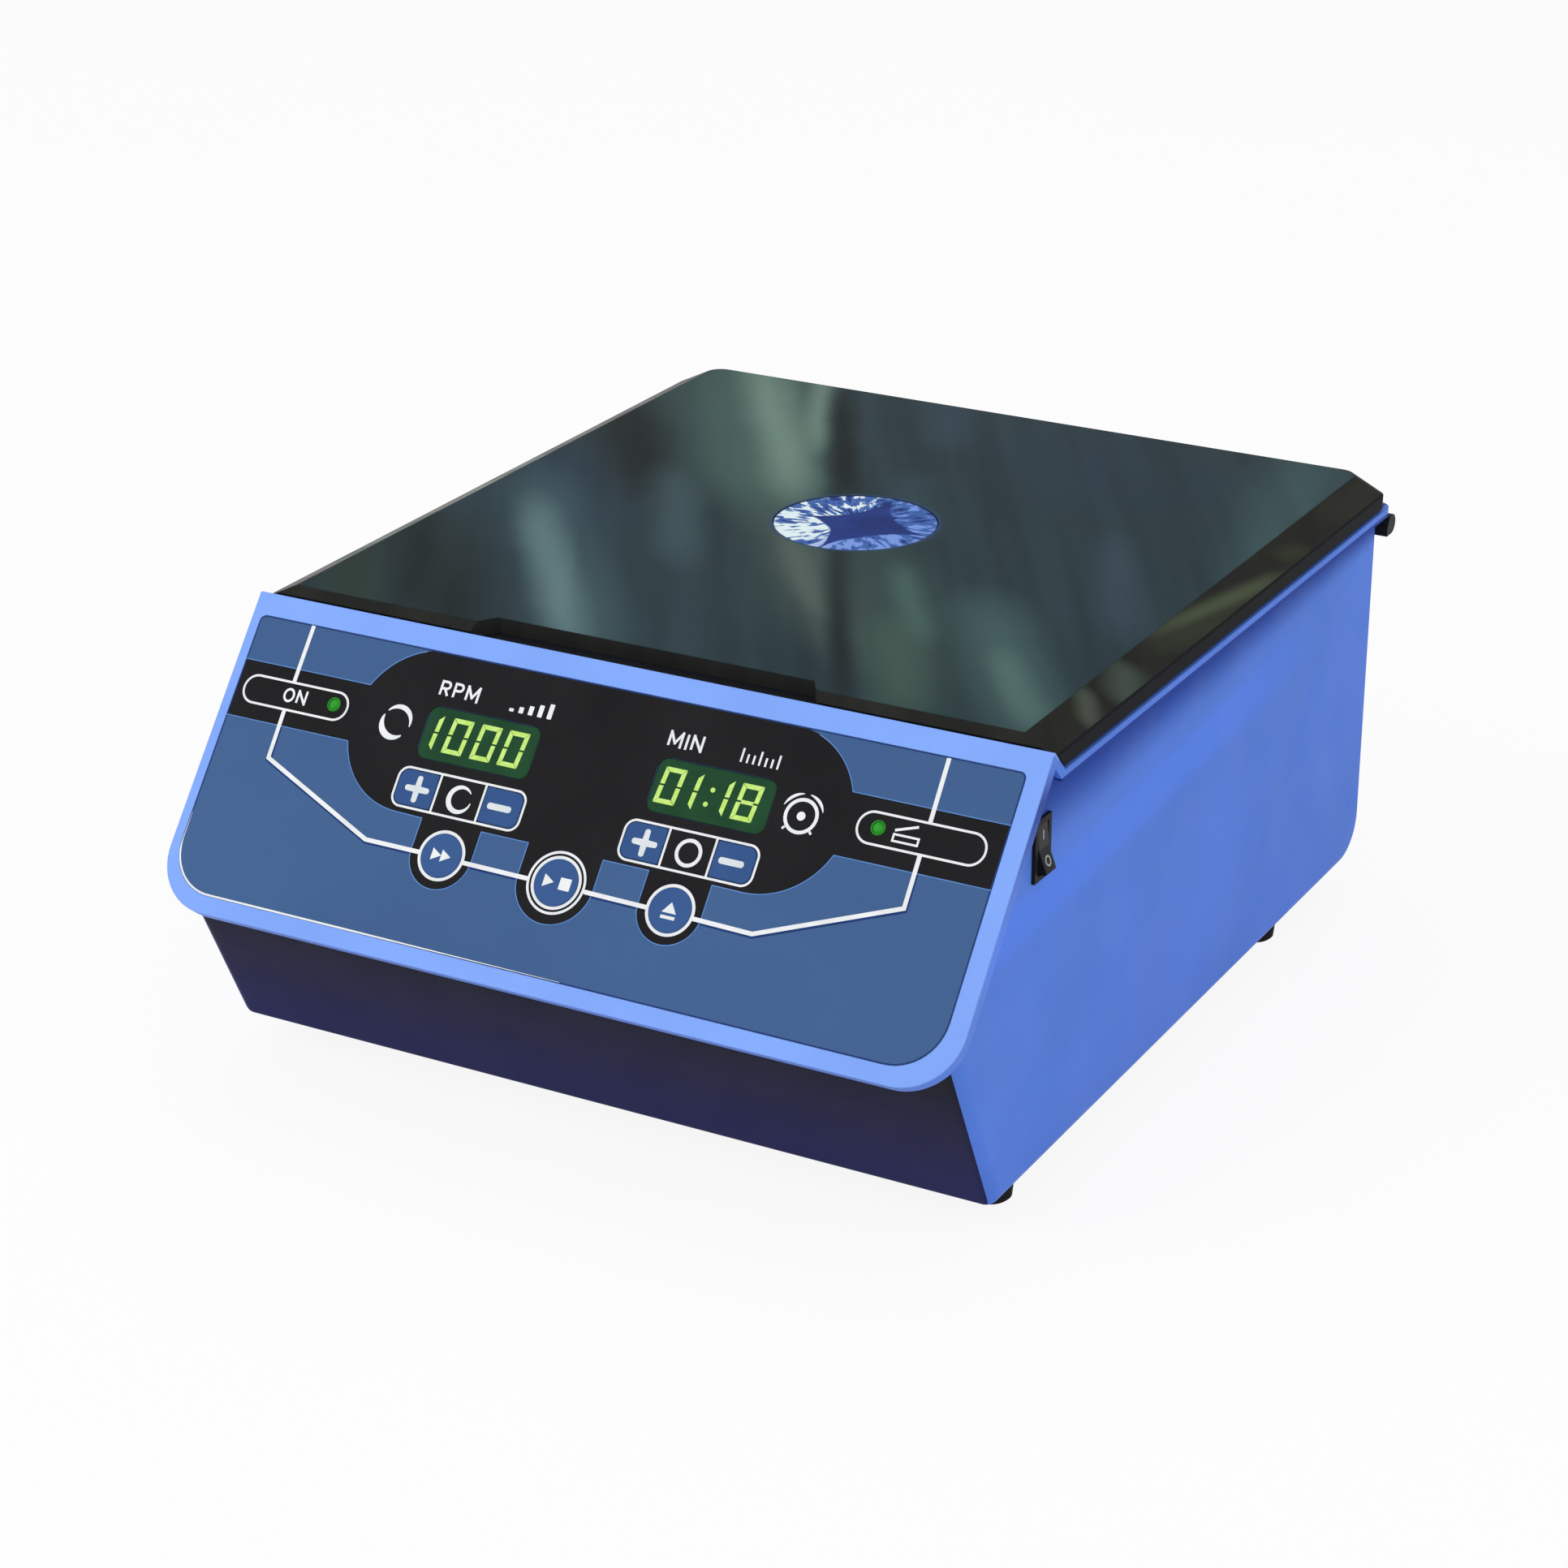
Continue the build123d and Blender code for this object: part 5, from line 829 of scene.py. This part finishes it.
# white lines from key to key, with a painted dark blue shadow under the ones on the blue
traces = [
    [(-158.0, 10.8), (-158.0, 37.0)],
    [(-158.0, 49.7), (-157.6, 71.7), (-97.8, 96.6), (-71.0, 96.6)],
    [(-49.0, 96.8), (-17.6, 97.0)],
    [(9.6, 97.0), (39.0, 97.3)],
    [(61.0, 97.5), (88.3, 98.0), (148.3, 74.2), (148.0, 52.0)],
    [(148.0, 38.4), (147.5, 11.0)],
]
lines = [stroke(path, lineLook["trace"]) for path in traces]
printShape("panel_traces", lines, 0.0, layers["line"], inks["white"])
shadeWidth = lineLook["trace"] + lineLook["shadowMore"]
shadows = [stroke(np.array(path) + lineLook["shadow"], shadeWidth) for path in traces[1:5]]
printShape("trace_shadows", shadows, 0.0, layers["shadow"], inks["navy"])

# film's cut edge: a painted shadow line all round, and a painted highlight where its lower left edge catches the
# light
left, top, right, bottom = panelLook["filmBox"]
inset = lineLook["rimIn"]
radii = [radius - inset for radius in panelLook["filmCorners"]]
rim = roundBox(left + inset, top + inset, right - inset, bottom - inset, radii)
# painted shadow line along the film's cut edge, made with the navy ink's material
printShape("film_outline", [stroke(rim, lineLook["rim"], True)], 0.0, layers["outline"], inks["navy"])
inset, radius = lineLook["glintIn"], panelLook["filmCorners"][3]
corner = arc(left + radius, bottom - radius, radius - inset, 180, 90, 17)
along = [(x, bottom - inset) for x in (-92.0, -50.0, 12.0)]
glint = np.vstack([[(left + inset, bottom - 34.0)], corner, along])
swell = np.interp(np.arange(len(glint)), [0, 3, len(glint) - 3, len(glint) - 1], [0.1, 0.85, 0.85, 0.15])
# painted highlight, made with the white ink's material
printWhite("film_glint", [stroke(glint, swell)])

# pills round the lamps, frames and bars round the plus and minus keys, rings round the round keys and lamps
fine = lineLook["fine"]
pills = [roundBox(-181.5, 37.2, -128.0, 49.6, 6.1), roundBox(118.0, 38.5, 174.5, 51.8, 6.5)]
pillLines = [stroke(path, fine, True) for path in pills]
printWhite("panel_pills", pillLines, "pill")
frames = [roundBox(-92.5, 62.1, -29.9, 79.3, 4.7), roundBox(18.5, 62.9, 80.7, 80.1, 4.7)]
bars = [[(x, y), (x, y + 16.8)] for x, y in ((-72.2, 62.3), (-50.1, 62.3), (38.7, 63.1), (60.5, 63.1))]
frameLines = [stroke(path, fine, True) for path in frames] + [stroke(path, fine) for path in bars]
printWhite("key_frames", frameLines)
rings = [(-60.0, 96.0, 10.38, 1.35), (-4.0, 96.0, 10.85, 1.3), (-4.0, 96.0, 13.05, 1.1), (50.0, 96.3, 10.38, 1.35)]
ringLines = [stroke(circle(across, down, radius, 60), width, True) for across, down, radius, width in rings]
printWhite("key_rings", ringLines, "ring")
radius, width = lineLook["lampRim"]
lampRims = [stroke(circle(across, down, radius, 24), width, True) for across, down in lamps.values()]
printShape("lamp_rims", lampRims, layers["field"], layers["ring"], inks["green"])

# spin sign, ring in the key cells, and alarm sign: a ring, its hub, two arcs over it and two feet
marks = [crescent(-102.5, 44.5, 6.9, 50, 200, 2.9), crescent(-102.5, 44.5, 6.9, 218, 368, 2.2)]
marks += [crescent(-60.3, 71.1, 5.4, 8, 322, 2.3), stroke(circle(49.8, 71.7, 5.3, 60), 1.6, True)]
alarm = (93.0, 46.8)
marks += [stroke(circle(*alarm, 6.9, 60), 1.5, True), [circle(*alarm, 1.9, 24)]]
marks += [crescent(*alarm, 9.4, 200, 262, 1.3), crescent(*alarm, 9.4, 278, 340, 1.3)]
marks += [stroke([(87.4, 52.2), (86.4, 53.4)], 1.0), stroke([(98.6, 52.2), (99.6, 53.4)], 1.0)]
printWhite("panel_marks", marks)
print("panel printed")


def plusShape(across, down, reach, thick, bothWays):
    # round-ended bar, and for plus a second one worked into the same outline
    half = thick / 2
    blunt = half * 0.9
    if not bothWays:
        return roundBox(across - reach, down - half, across + reach, down + half, blunt)
    end = arc(across + reach - blunt, down, half, -60, 60, 9) - [across, down]
    side = np.vstack([[(half, -half)], end])
    runs = []
    for turn in np.arange(4) * math.pi / 2:
        spin = np.array([[math.cos(turn), math.sin(turn)], [-math.sin(turn), math.cos(turn)]])
        runs.append(side @ spin + [across, down])
    return np.vstack(runs)


# signs on the keys' domes, between these heights over the film; inwards and lower place plus and minus
glyphLook = {"reach": 5.8, "thick": 2.8, "heights": (0.5, 0.56), "inwards": 0.8, "lower": 0.2}
for name, (across, down, side) in pads.items():
    centre = (across - side * glyphLook["inwards"], down + glyphLook["lower"])
    shape = plusShape(*centre, glyphLook["reach"], glyphLook["thick"], name.endswith("up"))
    printShape(name + "_glyph", [[shape]], *glyphLook["heights"], inks["pale_grey"], name + "_button")

# round keys: double arrow, arrow and square, eject
triangle = np.array([(-1.0, -1.15), (1.0, 0.0), (-1.0, 1.15)])
keyMarks = {
    "short_spin": [[triangle * 2.3 + (-62.2, 96.0)], [triangle * 2.3 + (-57.6, 96.0)]],
    "start_stop": [[triangle * 2.4 + (-7.4, 96.0)], [roundBox(-2.2, 93.4, 3.0, 98.6, 0.3)]],
    "lid_open": [[triangle[:, ::-1] * (2.9, -2.3) + (50.0, 95.3)], [roundBox(46.7, 98.8, 53.3, 100.2, 0.2)]],
}
for name, shapes in keyMarks.items():
    printShape(name + "_glyph", shapes, *glyphLook["heights"], inks["white"], name + "_button")

# units over the displays and the lamp's word: word, left, top, letter height, stroke and gap
words = {
    "speed_unit": ("RPM", -86.6, 22.9, 6.0, 1.1, 2.6), "time_unit": ("MIN", 25.2, 23.6, 6.0, 1.1, 2.6),
    "run_word": ("ON", -160.5, 40.3, 5.4, 1.05, 2.2),
}
for name, settings in words.items():
    printWhite(name, penWord(*settings))

# a scale that rises with speed, a scale of ticks for time, and an open lid beside its lamp
scaleLook = {"left": -51.8, "pitch": 4.6, "width": 2.2, "top": 28.2, "rise": 1.3, "bottom": 29.6, "corner": 0.3}
tickLook = {"left": 59.4, "pitch": 2.8, "tops": (24.2, 26.4, 26.4), "bottom": 30.2, "width": 0.9}
unitMarks = []
for k in range(5):
    left, top = scaleLook["left"] + scaleLook["pitch"] * k, scaleLook["top"] - scaleLook["rise"] * k
    box = (left, top, left + scaleLook["width"], scaleLook["bottom"])
    unitMarks.append([roundBox(*box, scaleLook["corner"])])
for k in range(7):
    across = tickLook["left"] + tickLook["pitch"] * k
    tick = [(across, tickLook["tops"][k % 3]), (across, tickLook["bottom"])]
    unitMarks.append(stroke(tick, tickLook["width"]))
unitMarks.append(stroke([(134.5, 48.6), (145.5, 48.6), (145.5, 45.8), (134.5, 45.8)], 0.9, True))
unitMarks.append(stroke([(134.4, 44.2), (144.0, 41.0)], 1.1))
printWhite("unit_marks", unitMarks)
print("marks placed")


# seven-segment digits in the display windows, leaning by slant degrees
digitLook = {
    "height": 15.7, "width": 9.8, "thick": 2.0, "slant": 5.4, "low": -0.3, "high": -0.22, "mitre": 0.14,
    "middle": 0.42, "middleHalf": 0.4, "colon": ((51.3, 44.0), (50.0, 50.4)), "dot": 1.05,
    "tones": ("#BEE76A", "#D2F58A"), "unlit": "#1A2A12", "patches": 2.5,
}
lit = {"0": "abcdef", "1": "bc", "8": "abcdefg"}


def segment(left, top, name):
    # top bar a and upper left bar f, mitred at the corner, turned over for the rest; g is the middle bar
    width, height, thick = digitLook["width"], digitLook["height"], digitLook["thick"]
    mitre, middle, half = digitLook["mitre"], digitLook["middle"], digitLook["middleHalf"] * thick
    if name == "g":
        points = [(thick + mitre, height / 2 - half), (width - thick - mitre, height / 2 - half),
                  (width - thick - mitre, height / 2 + half), (thick + mitre, height / 2 + half)]
    elif name in "ad":
        points = [(mitre, 0), (width - mitre, 0), (width - thick - mitre, thick), (thick + mitre, thick)]
    else:
        points = [(0, mitre), (thick, thick + mitre), (thick, height / 2 - middle), (0, height / 2 - middle)]
    points = np.array(points, float)
    if name in "bc":
        points[:, 0] = width - points[:, 0]
    if name in "ced":
        points[:, 1] = height - points[:, 1]
    lean = (height - points[:, 1]) * math.tan(math.radians(digitLook["slant"]))
    return points + (left, top) + np.c_[lean, lean * 0]


# lit segment: bare light behind a diffusing film, yellow-green and a little brighter in patches
litGreen, tree, shader, place = newMaterial("lit_diffuser_film", {
    "Roughness": 0.5, "Specular IOR Level": 0.1, "Emission Strength": 0.95,
    "Base Color": hexColour(digitLook["unlit"])})
tree.links.new(mottled(tree, place, digitLook["patches"], digitLook["tones"]), shader.inputs["Emission Color"])

# top of the digits, and each one's left edge and sign
readouts = {
    "speed": (37.4, [(-91.7, "1"), (-77.0, "0"), (-63.0, "0"), (-49.4, "0")]),
    "time": (38.3, [(26.4, "0"), (34.3, "1"), (48.8, "1"), (62.3, "8")]),
}
for name, (top, cells) in readouts.items():
    bright = [[segment(left, top, part)] for left, sign in cells for part in lit[sign]]
    if name == "time":
        bright += [[circle(across, down, digitLook["dot"], 24)] for across, down in digitLook["colon"]]
    printShape(name + "_digits", bright, digitLook["low"], digitLook["high"], litGreen)
print("digits lit")

# I and O on the rocker's two faces: the rocker's middle in mm, its lean in degrees, and how far its face bulges
rockerLook = {"centre": (186.5, -149.66, 161.25), "tilt": 12.0, "crown": 3.4, "valley": 1.8, "reach": 10.2}


def onRocker(points, lift):
    # u runs to the rear, v down along the rocker; its face rises from the valley to the crown at both ends
    points = np.asarray(points, float)
    tilt = math.radians(rockerLook["tilt"])
    out, up = np.array([math.cos(tilt), 0.0, math.sin(tilt)]), np.array([-math.sin(tilt), 0.0, math.cos(tilt)])
    share = np.abs(points[:, 1:2]) / rockerLook["reach"]
    rise = rockerLook["valley"] + (rockerLook["crown"] - rockerLook["valley"]) * share
    place = np.array(rockerLook["centre"]) + points[:, :1] * [0.0, 1.0, 0.0] - points[:, 1:2] * up
    return (place + (rise + lift) * out) * mm


onOff = [stroke([(0.0, -7.4), (0.0, -3.4)], 0.9), stroke(circle(0.0, 5.6, 1.9, 24), 0.8, True)]
printShape("rocker_marks", onOff, -0.01, 0.08, finishes["liner_grey"], "rocker", onRocker)

# position numbers 1 to 6 on the rotor, each turned past its holder by so many degrees, read from the middle
rotorLook = {"radius": 108.0, "past": 15.0, "height": 10.0, "width": 6.0, "thick": 1.5, "top": 102.0}
# laser marking: the beam burns the anodising to a dull dark grey, with no thickness of its own
numberInk = moulded("laser_marked_aluminium", {
    "tones": ("#26282A", "#2E3032"), "mottle": 6.0, "rough": 0.6, "specular": 0.1, "grain": 0.5, "depth": 0.002})
numerals = {
    1: [[(0.2, 0.22), (0.55, 0), (0.55, 1)]],
    2: [[(0, 0.2), (0.2, 0), (0.8, 0), (1, 0.2), (1, 0.4), (0, 1), (1, 1)]],
    3: [[(0, 0), (1, 0), (0.45, 0.4), (0.8, 0.42), (1, 0.6), (1, 0.82), (0.8, 1), (0.2, 1), (0, 0.85)]],
    4: [[(0.7, 1), (0.7, 0), (0, 0.68), (1, 0.68)]],
    5: [[(1, 0), (0.08, 0), (0.03, 0.42), (0.7, 0.38), (1, 0.55), (1, 0.82), (0.75, 1), (0.2, 1), (0, 0.88)]],
    6: [[(0.9, 0.06), (0.5, 0), (0.1, 0.25), (0, 0.7), (0.2, 1), (0.8, 1), (1, 0.75), (0.8, 0.48), (0.2, 0.5),
         (0.03, 0.66)]],
}


def onRotor(points, lift):
    # flat on the disc: x across and y away from the front, v running forwards
    points = np.asarray(points, float)
    return np.c_[points[:, 0], rotorY - points[:, 1], np.full(len(points), rotorLook["top"] + lift)] * mm


numbers = []
for number, paths in numerals.items():
    turn = math.radians(60.0 * (number - 1) + rotorLook["past"])
    right, down = np.array([math.sin(turn), math.cos(turn)]), np.array([-math.cos(turn), math.sin(turn)])
    middle = -rotorLook["radius"] * down
    for path in paths:
        path = (np.array(path, float) - 0.5) * (rotorLook["width"], rotorLook["height"])
        numbers.append(stroke(path[:, :1] * right + path[:, 1:] * down + middle, rotorLook["thick"]))
printShape("rotor_numbers", numbers, -0.02, 0.03, numberInk, "rotor", onRotor)


# socket screws: rings of the head, as reach and height over its radius, then the hexagonal socket's and its floor
screwLook = {
    "turns": 36, "profile": ((1.0, -0.1), (1.0, 0.25), (0.93, 0.42), (0.7, 0.55), (0.56, 0.57)),
    "socket": 0.414, "deep": 0.12,
}


def screws(name, spots, outward, radius, body):
    # a profile turned about outward at each seat in mm; its two inner rings have six flats, at
    # socket / cos(angle from the flat's middle), and the last one is closed as the socket's floor
    turns = screwLook["turns"]
    angle = np.arange(turns) * 2 * math.pi / turns
    flats = screwLook["socket"] / np.cos((angle + math.pi / 6) % (math.pi / 3) - math.pi / 6)
    rings = [(np.full(turns, reach), height) for reach, height in screwLook["profile"]]
    rings += [(flats, screwLook["profile"][-1][1]), (flats, screwLook["deep"])]
    outward = np.array(outward, float)
    first = np.array([1.0, 0.0, 0.0])
    second = np.cross(outward, first)
    points, faces, base = [], [], 0
    here = np.arange(turns)
    there = np.roll(here, -1)
    for spot in spots:
        for reach, height in rings:
            across = (reach * np.cos(angle))[:, None] * first + (reach * np.sin(angle))[:, None] * second
            points.append(np.array(spot) * mm + (across + height * outward) * radius * mm)
        for k in range(len(rings) - 1):
            low, high = base + k * turns, base + (k + 1) * turns
            faces += np.c_[here + low, there + low, there + high, here + high].tolist()
        faces += [(here[::-1] + base).tolist(), (here + base + (len(rings) - 1) * turns).tolist()]
        base += len(rings) * turns
    addPiece(name, np.vstack(points), faces, finishes["zinc_steel"], body)


sides = (-1, 1)
plateSpots = [(side * 172.0, y, 14.0) for side in sides for y in (-168.0, 12.0, 191.0)]
hingeSpots = [(side * x, 225.64, 165.0) for side in sides for x in (158.0, 171.0)]
linerSpots = [(side * 158.5, y, 193.5) for side in sides for y in (-114.7, 201.0)]
screws("base_screws", plateSpots, (0, 0, -1), 3.4, "housing")
screws("hinge_screws", hingeSpots, (0, 1, 0), 2.6, "housing")
screws("liner_screws", linerSpots, (0, 0, -1), 3.0, "lid")
print("rocker marks, rotor numbers and screws added")
